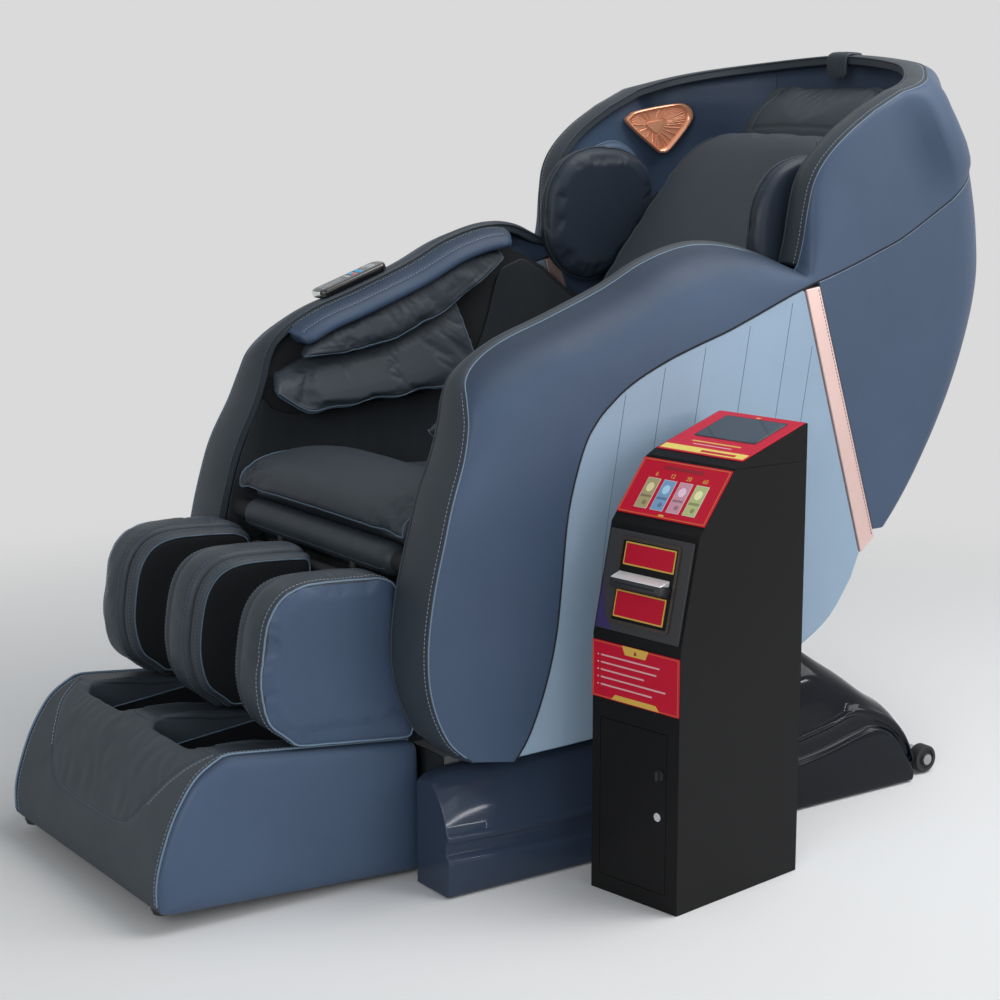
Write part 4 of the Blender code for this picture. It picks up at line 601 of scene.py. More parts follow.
def edgeNormals(line):
    out = []
    for k, (edge, seam, into) in enumerate(line):
        before, after = beside(line, k)
        along = (after[0] - before[0]).normalized()
        down = seam - edge
        down -= along * down.dot(along)
        down -= into * down.dot(into)
        out.append(down.normalized())
    return out


def edgeDepth(edge, seam, normal):
    return min(size["edge"], 0.45 * (seam - edge).dot(normal))


def shellRows(line, normals, thickness, steps, most=1.0):
    outer, inner = [], []
    for (edge, seam, into), normal in zip(line, normals):
        start = seam + (edge - seam).normalized() * size["seam"] / 2
        sideRun = (edge - start).dot(into)
        row = []
        for j in range(steps + 1):
            v = 1.0 - (1.0 - j / steps) ** 1.5
            turned = 1.0 - sqrt(max(1.0 - v ** 3, 0.0))
            point = start.lerp(edge, v) + into * sideRun * (turned - v)
            row.append(point - into * size["bulge"] * 4 * v * (1 - v) * (into.y != 0.0))
        outer.append(row)
        under = edge + normal * edgeDepth(edge, seam, normal)
        lip = under + into * 0.0012
        deep = under + into * min(thickness - (edge - seam).dot(into), most)
        foot = start + into * (thickness - (start - seam).dot(into))
        inner.append([foot.lerp(deep, j / (steps - 1)) for j in range(steps)] + [lip])
    return outer, inner


def bandRows(line, normals, widths, swell, steps):
    outer, inner = [], []
    for (edge, seam, into), normal, width in zip(line, normals, widths):
        thick = edgeDepth(edge, seam, normal) - 0.0006
        outer.append([edge + into * (0.0006 + width * j / steps) - normal * swell * sin(pi * j / steps) ** 0.7
                      for j in range(steps + 1)])
        inner.append([edge + into * (0.0006 + mix(0.0012, width, j / steps)) + normal * thick
                      for j in range(steps + 1)])
    return outer, inner


armLine, wingLine = stations(armEdge), stations(wingEdge)
hoodTurn = turnStations(0.0, size["joint"], turnStep)
armNormals = edgeNormals(armLine)


def stripY(edge, z):
    return edge[0] + (size["stripTop"] - z) * edge[1]


seamLine = [(seam.y, seam.z) for edge, seam, into in armLine + wingLine] + [(hull(0.0, 1.0).y, 1.0)]


def seamZ(y):
    return table([(a, b) for a, b in seamLine if a > -0.3 or b > 0.5], y)[0]


armCrest = size["half"] - 0.095 - 0.02


def armWidths():
    out = []
    for edge, seam, into in armLine:
        within = mix(size["frameIn"], armCrest, min(max((edge.z - 0.55) / 0.22, 0.0), 1.0))
        if edge.y > 0.03:
            within = mix(armCrest, 0.306, min((edge.y - 0.03) / 0.1, 1.0))
        out.append(edge.x - within - 0.0006)
    return out


# how far threads and cords stand off the leather
onHide = {"thread": 0.0003, "cord": 0.0006}


def laid(piece, path, lift=0.0, closed=False, push=None, step=0.006):
    # path dropped on a piece's surface and lifted off it
    points = list(path) + ([path[0]] if closed else [])
    points = resample(points, max(int(lengthOf(points) / step), 3))
    tree = BVHTree.FromObject(piece, bpy.context.evaluated_depsgraph_get())
    out = []
    for p in points:
        p = Vector(p)
        if push is not None:
            hit = tree.ray_cast(p - Vector(push) * 0.05, Vector(push), 0.12)
        else:
            hit = tree.find_nearest(p)
        if hit[0] is not None:
            out.append(hit[0] + hit[1] * lift)
    return out[:-1] if closed else out


def groove(piece, path, width, depth, closed=False):
    # presses a soft channel along the path, or raises a fold when depth is negative
    points = list(path) + ([path[0]] if closed else [])
    points = resample(points, max(int(lengthOf(points) / 0.0015), 3))
    tree = KDTree(len(points))
    for k, p in enumerate(points):
        tree.insert(p, k)
    tree.balance()
    mesh = piece.data
    moves = []
    for vert in mesh.vertices:
        where, k, gap = tree.find(vert.co)
        if gap < width:
            moves.append((vert.index, vert.normal * -depth * cos(gap / width * pi / 2) ** 2))
    for k, move in moves:
        mesh.vertices[k].co += move
    mesh.update()


def remesh(piece, voxel, relax=4):
    change = piece.modifiers.new("grid", "REMESH")
    change.mode = "VOXEL"
    change.voxel_size = voxel
    ease = piece.modifiers.new("ease", "SMOOTH")
    ease.factor = 0.5
    ease.iterations = relax
    settle(piece)


def settle(piece):
    # modifiers into the mesh
    graph = bpy.context.evaluated_depsgraph_get()
    mesh = bpy.data.meshes.new_from_object(piece.evaluated_get(graph))
    piece.modifiers.clear()
    old = piece.data
    piece.data = mesh
    if not mesh.materials:
        mesh.materials.append(old.materials[0])
    mesh.shade_smooth()


coverCloth = {"quality": 4, "mass": 0.25, "tension_stiffness": 12.0, "compression_stiffness": 8.0,
              "shear_stiffness": 5.0, "bending_stiffness": 0.25, "use_pressure": True, "vertex_group_mass": "held"}


def puff(piece, held, slack, cap, pressure=4.0, frames=16):
    # the cover settles over its filling: cloth with inner pressure, each move capped
    start = [v.co.copy() for v in piece.data.vertices]
    group = piece.vertex_groups.new(name="held")
    for k, co in enumerate(start):
        if held(co):
            group.add([k], 1.0, "REPLACE")
    cloth = piece.modifiers.new("cover", "CLOTH")
    for key, value in coverCloth.items():
        setattr(cloth.settings, key, value)
    cloth.settings.uniform_pressure_force = pressure
    cloth.settings.shrink_min = -slack
    cloth.settings.effector_weights.gravity = 0.0
    cloth.collision_settings.use_collision = False
    cloth.point_cache.frame_end = frames
    scene = bpy.context.scene
    for step in range(1, frames + 1):
        scene.frame_set(step)
    graph = bpy.context.evaluated_depsgraph_get()
    moved = piece.evaluated_get(graph).to_mesh()
    goal = [v.co.copy() for v in moved.vertices]
    piece.modifiers.clear()
    scene.frame_set(1)
    for vert, a, b in zip(piece.data.vertices, start, goal):
        step = b - a
        if step.length > cap:
            step *= cap / step.length
        vert.co = a + step
    piece.data.update()
    piece.vertex_groups.clear()


# studio: pale floor that fades into an even background, five soft lights
studio = {"grey": 0.7, "floor": 0.8, "key": 92.0, "fill": 22.0, "top": 100.0, "rear": 36.0,
          "streak": 15.0, "dim": 0.1, "bright": 0.34}


def softLight(name, place, target, wide, tall, power):
    data = bpy.data.lights.new(name, "AREA")
    data.shape = "RECTANGLE"
    data.size, data.size_y = wide, tall
    data.energy = power
    lamp = linked(name, data)
    lamp.location = place
    lamp.rotation_euler = (Vector(target) - Vector(place)).to_track_quat("-Z", "Y").to_euler()


def makeStudio():
    softLight("key", (3.4, -4.2, 2.2), (0.0, 0.0, 0.5), 2.6, 2.2, studio["key"])
    softLight("fill", (4.8, 0.8, 1.8), (0.1, 0.1, 0.7), 2.4, 2.4, studio["fill"])
    softLight("top", (1.15, 1.2, 3.9), (0.05, 0.0, 0.55), 2.6, 2.6, studio["top"])
    softLight("streak", (3.5, 2.2, 0.9), (0.3, 0.0, 0.2), 1.8, 0.07, studio["streak"])
    softLight("rear", (2.4, 3.2, 2.4), (0.2, 0.2, 0.7), 1.6, 2.0, studio["rear"])
    world = bpy.data.worlds.new("studio")
    bpy.context.scene.world = world
    world.use_nodes = True
    tree = world.node_tree
    back = tree.nodes["Background"]
    # soft walls: darker in front of the seat, brighter above and on the open side
    where = Sock(tree).node("ShaderNodeTexCoord", out="Generated")
    flat = where.node("ShaderNodeBackground", {"Color": (studio["grey"],) * 3})
    along = where.node("ShaderNodeVectorMath", {0: where, 1: (0.62, 0.3, 0.72)}, out=1, operation="DOT_PRODUCT")
    dim, bright = studio["dim"], studio["bright"]
    walls = blendColour(along.above(0.25, 0.65), (dim * 0.9, dim * 0.95, dim), (bright * 0.86, bright * 0.93, bright))
    feed(tree, back.inputs["Color"], walls)
    # the camera, mirrors and glass see the even grey
    direct, glossy, through = (where.node("ShaderNodeLightPath", out=f"Is {kind} Ray")
                               for kind in ("Camera", "Glossy", "Transmission"))
    seen = (direct + glossy + through).clamp()
    chosen = where.node("ShaderNodeMixShader", {"Fac": seen, 1: Sock(tree, back.outputs[0]), 2: flat})
    feed(tree, tree.nodes["World Output"].inputs["Surface"], chosen)
    look = Look("floor")
    away = look.place.node("ShaderNodeVectorMath", {0: look.place}, out=1, operation="LENGTH")
    speck = look.noise(300.0)
    look.set(Base_Color=(studio["floor"],) * 3, Roughness=speck * 0.1 + 0.62, Specular_IOR_Level=0.25,
             Alpha=1 - away.above(1.9, 0.75))
    bm = bmesh.new()
    bmesh.ops.create_circle(bm, cap_ends=True, segments=96, radius=3.2)
    mesh = meshOf("floor", bm)
    mesh.materials.append(look.material)
    floor = linked("floor", mesh)
    floor.location = (0.1, -0.1, -0.0005)


makeStudio()
print("studio ready")


# outer shells, one skin from arm to hood, with the cord along its front edge
shell = {"steps": 18, "cord": 0.0011}
tuckAt = [(1.06, 0.0), (1.09, 0.3), (1.118, 0.64), (1.15, 0.94), (1.185, 1.0), (1.22, 0.56), (1.2437, 0.0)]


def tucked(point):
    # rear corners of the hood drawn in below its top edge
    x, y, z = point
    if not tuckAt[0][0] < z < tuckAt[-1][0]:
        return Vector(point)
    share = table(tuckAt, z)[0] * smoothStep((abs(x) - 0.17) / 0.17) * smoothStep((y - 0.42) / 0.2)
    return vec(x - copysign(0.01 * share, x), y - 0.048 * share, z)


def tuck(rows):
    return [[tucked(p) for p in row] for row in rows]


def makeShells():
    line = armLine + wingLine + hoodTurn
    normals = armNormals + edgeNormals(wingLine + hoodTurn)
    split = len(armLine)
    arm = shellRows(line[:split], normals[:split], size["skin"], shell["steps"])
    hood = shellRows(line[split:], normals[split:], size["wing"], shell["steps"])
    outer, inner = tuck(arm[0] + hood[0]), tuck(arm[1] + hood[1])
    for side, tag, end in sides:
        shellPiece("shell" + tag, outer, inner, "slate", *shellPlace, side, 0.0012, node="side_shell" + end)
        cord = [r[-1] + vec(0.0004, 0.0, 0.0) for r in outer[2:]]
        tube("shellCord" + tag, cord, shell["cord"], "piping", *shellPlace, side)
        # a black cord in the seam gap between shell and panel: painted shade for the gap, shaped as a rubber trim
        low = [r[0] + vec(-0.0022, 0, 0) + (r[0] - r[1]).normalized() * 0.0012 for r in outer]
        tube("seamGasket" + tag, low, 0.0024, "lining", "capsule", "rubber", side)
    line = turnStations(size["joint"], 180.0 - size["joint"], turnStep)
    outer, inner = shellRows(line, edgeNormals(line), size["wing"], shell["steps"], -0.0015)
    shellPiece("hoodBack", tuck(outer), tuck(inner), "slate", *shellPlace, 1, 0.001, node="hood_back")


makeShells()
print("shells made")

# charcoal bands on the arm edge and the hood rim
band = {"across": 12, "armSwell": 0.006, "rimSwell": 0.004, "cord": 0.0017, "stitchIn": 0.007}


def makeBands():
    outer, inner = bandRows(armLine, armNormals, armWidths(), band["armSwell"], band["across"])
    for side, tag, end in sides:
        shellPiece("armBand" + tag, outer, inner, "charcoal", *hidePlace, side, 0.0025, node="arm_band" + end)
        cord = [r[-1] - n * 0.0006 for r, n in zip(outer, armNormals)]
        tube("armBandCord" + tag, cord[4:], band["cord"], "charcoal", *hidePlace, side)
        row = [r[0].lerp(r[-1], band["stitchIn"] / max((r[-1] - r[0]).length, 0.02))
               - n * band["armSwell"] * 0.42 for r, n in zip(outer, armNormals)]
        stitches("armBandStitch" + tag, row[3:62], "thread", *hidePlace, side)
    half = wingLine + turnStations(0.0, 90.0, turnStep)
    normals = edgeNormals(half)
    outer, inner = bandRows(half, normals, [0.044] * len(half), band["rimSwell"], band["across"])
    rows = []
    for share in (0.0, 0.16, 1.0):
        rows.append([r[0].lerp(r[-1], share) - n * (band["rimSwell"] * sin(pi * share) ** 0.7 + 0.0002)
                     for r, n in zip(outer, normals)])
    for grid in (outer, inner):
        grid.extend([[vec(-p.x, p.y, p.z) for p in row] for row in reversed(grid[:-1])])
    for row in rows:
        row.extend([vec(-p.x, p.y, p.z) for p in reversed(row[:-1])])
    shellPiece("hoodRim", tuck(outer), tuck(inner), "charcoal", *hidePlace, 1, 0.002, node="hood_rim")
    rows = tuck(rows)
    tube("hoodCord", rows[0], band["cord"], "charcoal", *hidePlace)
    tube("hoodInnerCord", rows[2], band["cord"], "charcoal", *hidePlace)
    stitches("hoodStitch", rows[1], "thread", *hidePlace)


makeBands()
print("bands made")

# pale lower side panel with its pleat lines, and the rose-gold strip
panel = {"face": 0.3826, "lines": (-0.262, -0.2, -0.13, -0.055, 0.03, 0.112, 0.168), "slant": 0.17}


def panelOutline():
    shifted = []
    for k, p in enumerate(seamLine):
        a, b = beside(seamLine, k)
        run = dist(a, b)
        shifted.append((p[0] + (b[1] - a[1]) / run * 0.0015, p[1] - (b[0] - a[0]) / run * 0.0015))
    endY = stripY(stripFront, size["stripTop"]) - 0.001
    top = [p for p in shifted if p[0] < endY - 0.004 or p[1] < 0.5]
    strip = [(stripY(stripFront, z) - 0.001, z) for z in (size["stripTop"] - 0.003, 0.64, 0.425)]
    return top, strip


def slab(name, outline, low, high, look, body, slotName, side=1, edge=0.002, node=None):
    # body with a (y, z) outline between two x planes
    count = len(outline)
    verts = mirrored([(low, y, z) for y, z in outline] + [(high, y, z) for y, z in outline], side)
    piece = addMesh(name, verts, prismFaces(count), look, body, slotName, 45.0, node)
    soften(piece, edge, 3, 50.0)


def makePanels():
    top, strip = panelOutline()
    bottom = spline(panelBottom, 4)
    for side, tag, end in sides:
        slab("panel" + tag, top + strip + bottom, size["frameOut"] + 0.0003, panel["face"], "mist",
             "capsule", "panel_mist", side, 0.003, node="side_panel" + end)
        for index, y in enumerate(panel["lines"]):
            ceiling = seamZ(y + 0.02) - 0.006
            floorZ = 0.215
            path = []
            for k in range(30):
                z = mix(ceiling, floorZ, k / 29)
                place = y + (z - 0.6) * panel["slant"] * (1.0 - 0.6 * smoothStep((0.6 - z) / 0.4))
                low = table([(a, b) for a, b in reversed(panelBottom)], min(max(place, -0.367), 0.3))[0]
                high = seamZ(place) if place > -0.23 else 0.0
                if low + 0.004 < z < high - 0.004 and place < stripY(stripFront, z) - 0.006:
                    path.append((panel["face"] + 0.0001, place, z))
            if len(path) > 3:
                tube(f"pleat{index}{tag}", path, 0.0005, "pleat", "capsule", "panel_mist", side, 6)
        low, high = size["stripLow"], size["stripTop"]
        outline = [(stripY(stripFront, low - 0.014), low - 0.014), (stripY(stripFront, 0.62), 0.62),
                   (stripY(stripFront, high), high), (stripY(stripRear, high + 0.004), high + 0.004),
                   (stripY(stripRear, 0.62), 0.62), (stripY(stripRear, low + 0.008), low + 0.008)]
        slab("strip" + tag, outline, size["frameOut"] + 0.0003, 0.3848, "rose", "capsule", "rose_gold",
             side, 0.0015, node="trim_strip" + end)
        row = [(0.3851, stripY(stripRear, z) - 0.0045, z) for z in (0.868, 0.75, 0.6, 0.452)]
        stitches("stripStitch" + tag, resample(row, 60), "threadBrown", "capsule", "rose_gold", side)


makePanels()
print("panels made")

# rear skins below the seam
rear = {"levels": 40, "columns": 10}


def flankY(share, z):
    rearY, depth = table(rearFine, z)
    return mix(stripY(stripRear, z) + 0.001, rearY - depth, share)


def flankTop(share):
    low, high = 0.5, 1.0
    for _ in range(40):
        z = (low + high) / 2
        if z < seamZ(flankY(share, z)) - 0.0015:
            low = z
        else:
            high = z
    return low


def makeRear():
    columns = [("flank", k / rear["columns"]) for k in range(rear["columns"])]
    columns += [("turn", size["joint"] * k / 20) for k in range(21)]
    outer, inner = [], []
    for kind, value in columns:
        top = seamHeight(value) - 0.0015 if kind == "turn" else flankTop(value)
        depth = size["skin"] if kind == "flank" else mix(size["skin"], size["back"], value / size["joint"])
        face, back = [], []
        for k in range(rear["levels"] + 1):
            z = mix(0.462, top, k / rear["levels"])
            if kind == "turn":
                face.append(hull(value, z, 0.001))
                back.append(hull(value, z, depth))
            else:
                face.append(vec(size["half"] - 0.001, flankY(value, z), z))
                back.append(vec(size["half"] - depth, flankY(value, z), z))
        outer.append(face)
        inner.append(back)
    for side, tag, end in sides:
        shellPiece("rearQuarter" + tag, outer, inner, "slate", *shellPlace, side, 0.0015, node="rear_quarter" + end)
        lip = [column[-1] + vec(0.0, 0.0, -0.0005) for column in outer]
        tube("rearLip" + tag, lip, 0.0008, "piping", *shellPlace, side)
    outer, inner = [], []
    for k in range(25):
        phi = mix(size["joint"], 180.0 - size["joint"], k / 24)
        top = seamHeight(phi) - 0.0015
        shift = vec(0.0012 if k == 24 else -0.0012 if k == 0 else 0.0, 0.0, 0.0)
        levels = [mix(0.33, top, n / 48) for n in range(49)]
        outer.append([hull(phi, z, 0.001) + shift for z in levels])
        inner.append([hull(phi, z, size["back"]) + shift for z in levels])
    shellPiece("backCover", outer, inner, "slate", *shellPlace, 1, 0.0012, node="back_cover")


makeRear()
print("rear skins made")

# gloss skirts on the floor beside the base, wheels
cover = {"rows": [
    (-0.5, 0.06, 0.096, 0.126, 0.168), (-0.47, 0.06, 0.094, 0.128, 0.182),
    (-0.36, 0.054, 0.09, 0.13, 0.187), (-0.242, 0.049, 0.089, 0.132, 0.189),
    (-0.1, 0.053, 0.095, 0.146, 0.194), (0.02, 0.062, 0.104, 0.168, 0.211),
    (0.11, 0.071, 0.114, 0.19, 0.234), (0.19, 0.081, 0.127, 0.212, 0.264),
    (0.23, 0.086, 0.134, 0.214, 0.262), (0.27, 0.093, 0.141, 0.203, 0.238),
    (0.32, 0.104, 0.152, 0.18, 0.206), (0.37, 0.11, 0.138, 0.152, 0.17),
    (0.415, 0.09, 0.114, 0.124, 0.142), (0.445, 0.05, 0.082, 0.092, 0.106),
    (0.464, 0.02, 0.044, 0.052, 0.06)], "long": 90}
wheelSize = {"r": 0.024, "half": 0.011, "bore": 0.0059, "x": 0.352, "y": 0.515}


def makeBase():
    rings = []
    for y, foot, ridge, crease, top in resample(spline(cover["rows"], 6), cover["long"]):
        low = 0.001
        face = [(0.377, low), (0.382, low + 0.002), (0.384, low + 0.008), (0.384, mix(low, foot, 0.5)),
                (0.384, mix(low, foot, 0.86)), (0.3835, foot - 0.002), (0.3815, foot + 0.0015), (0.376, foot + 0.006),
                (0.3762, mix(foot, ridge, 0.5)), (0.3765, ridge - 0.014), (0.3785, ridge - 0.0105),
                (0.3815, ridge - 0.007), (0.3824, ridge - 0.003), (0.3815, ridge), (0.3795, ridge + 0.0035),
                (0.378, ridge + 0.005), (0.3745, mix(ridge, crease, 0.5)), (0.37, crease),
                (0.361, mix(crease, top, 0.4)), (0.35, mix(crease, top, 0.72)), (0.338, mix(crease, top, 0.92)),
                (0.326, top), (0.306, top - 0.002), (size["coverIn"] + 0.002, top - 0.005),
                (size["coverIn"], top - 0.009), (size["coverIn"], low)]
        rings.append([vec(x, y, z) for x, z in face])
    for side, tag, end in sides:
        piece = loftPiece("skirt" + tag, rings, "navy", "base", "gloss_navy", side, 30.0)
        soften(piece, 0.0015, 2, 45.0)
        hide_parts("base_cover" + end)
    profile = [(wheelSize["bore"], -0.011), (0.01, -0.011), (0.011, -0.008), (0.0165, -0.0078), (0.0172, -0.0105),
               (0.0195, -0.011), (0.0225, -0.011), (0.024, -0.0092), (0.024, -0.0045), (0.0234, -0.004),
               (0.0234, -0.003), (0.024, -0.0025), (0.024, 0.0025), (0.0234, 0.003), (0.0234, 0.004),
               (0.024, 0.0045), (0.024, 0.0092), (0.0225, 0.011), (0.0195, 0.011), (0.0172, 0.0105),
               (0.0165, 0.0078), (0.011, 0.008), (0.01, 0.011), (wheelSize["bore"], 0.011)]
    count = 48
    verts, faces = [], []
    for k in range(count):
        turn = 2 * pi * k / count
        verts += [(wheelSize["x"] + x, wheelSize["y"] + r * cos(turn), 0.0255 + r * sin(turn))
                  for r, x in profile]
    n = len(profile)
    for k in range(count):
        for j in range(n):
            a, b = k * n, (k + 1) % count * n
            faces.append((a + j, b + j, b + (j + 1) % n, a + (j + 1) % n))
    for side, tag, end in sides:
        addMesh("wheel" + tag, mirrored(verts, side), faces, "rubber", "wheel" + end, "rubber", 35.0,
                node="wheel" + end)


makeBase()
print("base made")

# kiosk, turned a little about its front corner
kioskAt = {"x": 0.455, "y": -0.29, "turn": 9.0}
kioskTurn = Matrix.Translation((kioskAt["x"], kioskAt["y"], 0.0)) @ Matrix.Rotation(radians(kioskAt["turn"]), 4, "Z")
kioskFaces = {"front": ((0.0, 0.0), (0.0, 0.395)), "mouth": ((0.0, 0.395), (0.037, 0.559)),
              "price": ((0.037, 0.559), (0.111, 0.648)), "head": ((0.128, 0.6555), (0.275, 0.697))}


def roundedRect(u0, v0, u1, v1, radius, steps=5):
    out = []
    for cu, cv, first in ((u1 - radius, v1 - radius, 0), (u0 + radius, v1 - radius, 90),
                          (u0 + radius, v0 + radius, 180), (u1 - radius, v0 + radius, 270)):
        for k in range(steps + 1 if radius > 0.0002 else 1):
            a = radians(first + 90.0 * k / steps)
            out.append((cu + radius * cos(a), cv + radius * sin(a)))
    return out


def onFace(face, u, v, out):
    (y0, z0), (y1, z1) = kioskFaces[face]
    run = dist((y0, z0), (y1, z1))
    ay, az = (y1 - y0) / run, (z1 - z0) / run
    return kioskTurn @ vec(u, y0 + ay * v - az * out, z0 + az * v + ay * out)


def plate(name, face, outline, low, high, look, body="base", slotName="panel_red", edge=0.0, node=None):
    # thin piece on one face of the kiosk: an outline in (across, up the face), or corners and radius
    if isinstance(outline[0], float):
        outline = roundedRect(*outline)
    count = len(outline)
    verts = [onFace(face, u, v, low) for u, v in outline] + [onFace(face, u, v, high) for u, v in outline]
    piece = addMesh(name, verts, prismFaces(count), look, body, slotName, 40.0, node)
    if edge:
        soften(piece, edge, 2, 50.0)


def border(name, face, u0, v0, u1, v1, wide, radius, low, high, look, slotName="panel_red"):
    # flat frame: outer and inner rounded outlines joined
    outer = roundedRect(u0, v0, u1, v1, radius)
    inner = roundedRect(u0 + wide, v0 + wide, u1 - wide, v1 - wide, max(radius - wide, 0.0003))
    count = len(outer)
    verts = []
    for ring, out in ((outer, low), (outer, high), (inner, high), (inner, low)):
        verts += [onFace(face, u, v, out) for u, v in ring]
    faces = []
    for r in range(4):
        a, b = r * count, (r + 1) % 4 * count
        faces += [(a + k, a + (k + 1) % count, b + (k + 1) % count, b + k) for k in range(count)]
    return addMesh(name, verts, faces, look, "base", slotName, 35.0)


def number(name, text, face, u, v, tall, out, look):
    # plain raised number
    curve = bpy.data.curves.new(name, "FONT")
    curve.body = text
    curve.size = tall
    curve.extrude = 0.00015
    curve.align_x = "CENTER"
    maker = linked(name, curve)
    bpy.context.view_layer.update()
    mesh = bpy.data.meshes.new_from_object(maker.evaluated_get(bpy.context.evaluated_depsgraph_get()))
    bpy.data.objects.remove(maker, do_unlink=True)
    for vert in mesh.vertices:
        vert.co = onFace(face, u + vert.co.x, v + vert.co.y, out + vert.co.z)
    mesh.materials.clear()
    mesh.materials.append(looks[look])
    piece = linked(name, mesh)
    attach(piece, "base")
    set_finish(piece, "panel_red")


def makePricePanel():
    face = "price"
    plate("pricePlate", face, (0.0005, 0.016, 0.1715, 0.1117, 0.0008), 0.0003, 0.002, "red",
          *redPlace, 0.0004, node="price_panel")
    border("priceBorder", face, 0.0025, 0.018, 0.1695, 0.1097, 0.0014, 0.0012, 0.0019, 0.0022, "orange")
    for index, (key, figure) in enumerate(zip(noteTints, ("6", "12", "20", "60"))):
        u = 0.0405 + 0.0312 * index
        plate(f"card{index}", face, (u - 0.0122, 0.028, u + 0.0122, 0.0795, 0.0006), 0.0019, 0.0023, "white")
        plate(f"note{index}", face, (u - 0.0116, 0.0286, u + 0.0116, 0.0789, 0.0004), 0.0022, 0.0025, "note" + key)
        plate(f"noteOval{index}", face, circle(u, 0.0635, 0.0068, 0.0078, 24), 0.0024, 0.0026, "notePale" + key)
        plate(f"noteBar{index}", face, (u - 0.0098, 0.0465, u + 0.0098, 0.0505, 0.001), 0.0024, 0.0026,
              "noteDark" + key)
        plate(f"noteDisc{index}", face, circle(u + 0.003, 0.0375, 0.004, 0.004, 20), 0.0024, 0.0026, "noteDark" + key)
        number(f"price{index}", figure, face, u, 0.0835, 0.0098, 0.0022, "gold")
    plate("priceTitle", face, (0.048, 0.0965, 0.124, 0.1025, 0.002), 0.0019, 0.0022, "redDeep")
    plate("priceFoot", face, (0.081, 0.0195, 0.091, 0.0228, 0.001), 0.0019, 0.0023, "gold")


def makeNoticePanel():
    face = "front"
    plate("noticePlate", face, (0.0005, 0.3, 0.1715, 0.387, 0.0008), 0.0003, 0.002, "red",
          *redPlace, 0.0004, node="notice_panel")
    border("noticeBorder", face, 0.0022, 0.3018, 0.1698, 0.3852, 0.001, 0.001, 0.0019, 0.0022, "orange")
    plate("noticeTabTop", face, [(0.06, 0.3868), (0.112, 0.3868), (0.106, 0.3735), (0.066, 0.3735)], 0.0019,
          0.0024, "gold", *redPlace, 0.0001)
    mark = [(0.083, 0.3765), (0.0895, 0.3765), (0.08625, 0.3835)]
    plate("noticeMark", face, mark, 0.0023, 0.0026, "redDeep")
    for index, (u0, u1) in enumerate(((0.018, 0.134), (0.018, 0.128), (0.018, 0.104), (0.018, 0.146), (0.018, 0.12))):
        v = 0.3655 - index * 0.0112
        plate(f"noticeDot{index}", face, circle(0.0125, v, 0.0011, 0.0011, 12), 0.0019, 0.0022, "white")
        plate(f"noticeLine{index}", face, (u0, v - 0.0012, u1, v + 0.0012, 0.0008), 0.0019, 0.0021, "redPale")
    plate("noticeTabFoot", face, [(0.04, 0.3014), (0.134, 0.3014), (0.127, 0.3095), (0.047, 0.3095)], 0.0019,
          0.0024, "gold", *redPlace, 0.0001)


def makeAcceptor():
    face = "mouth"
    plate("mouthSheet", face, (0.005, 0.01, 0.167, 0.158, 0.0015), 0.0002, 0.004, "crinkle",
          *mouthPlace, 0.0006, node="note_acceptor")
    border("mouthBezel", face, 0.0305, 0.022, 0.147, 0.15, 0.005, 0.007, 0.0038, 0.0062, "bronze", "plastic_black")
    plate("mouthField", face, (0.0345, 0.027, 0.143, 0.145, 0.004), 0.0038, 0.0046, "black", *mouthPlace)
    for index, (u0, v0, u1, v1) in enumerate(((0.04, 0.109, 0.1385, 0.143), (0.0365, 0.0315, 0.134, 0.0715))):
        plate(f"labelEdge{index}", face, (u0, v0, u1, v1, 0.001), 0.0045, 0.0052, "gold")
        plate(f"label{index}", face, (u0 + 0.0022, v0 + 0.0022, u1 - 0.0022, v1 - 0.0022, 0.0006), 0.005, 0.0056,
              "red")
    nose = []
    for out, grow in ((0.0045, 0.0), (0.018, 0.0), (0.0225, -0.0012), (0.024, -0.004)):
        nose.append([onFace(face, u, v, out) for u, v in roundedRect(0.034 - grow, 0.074 - grow * 0.6, 0.138 + grow,
                                                                     0.0905 + grow * 0.6, 0.005)])
    loftPiece("mouthNose", nose, "darkPlastic", *mouthPlace, 1, 40.0)
    lip = [onFace(face, u, v, out) for back, front in ((0.099, 0.0895), (0.09, 0.088)) for u, v, out in
           ((0.0365, back, 0.006), (0.1355, back, 0.006), (0.1345, front, 0.0243), (0.0375, front, 0.0243))]
    shelf = addMesh("mouthShelf", lip, prismFaces(4), "silver", *mouthPlace)
    soften(shelf, 0.0008, 2, 50.0)
    plate("mouthSlot", face, (0.048, 0.0805, 0.124, 0.0835, 0.001), 0.0238, 0.0243, "lining", *mouthPlace)
    corner = [(0.006, 0.011), (0.04, 0.011), (0.02, 0.03), (0.006, 0.085)]
    plate("mouthSheen", face, corner, 0.0039, 0.00405, "violet", *mouthPlace)


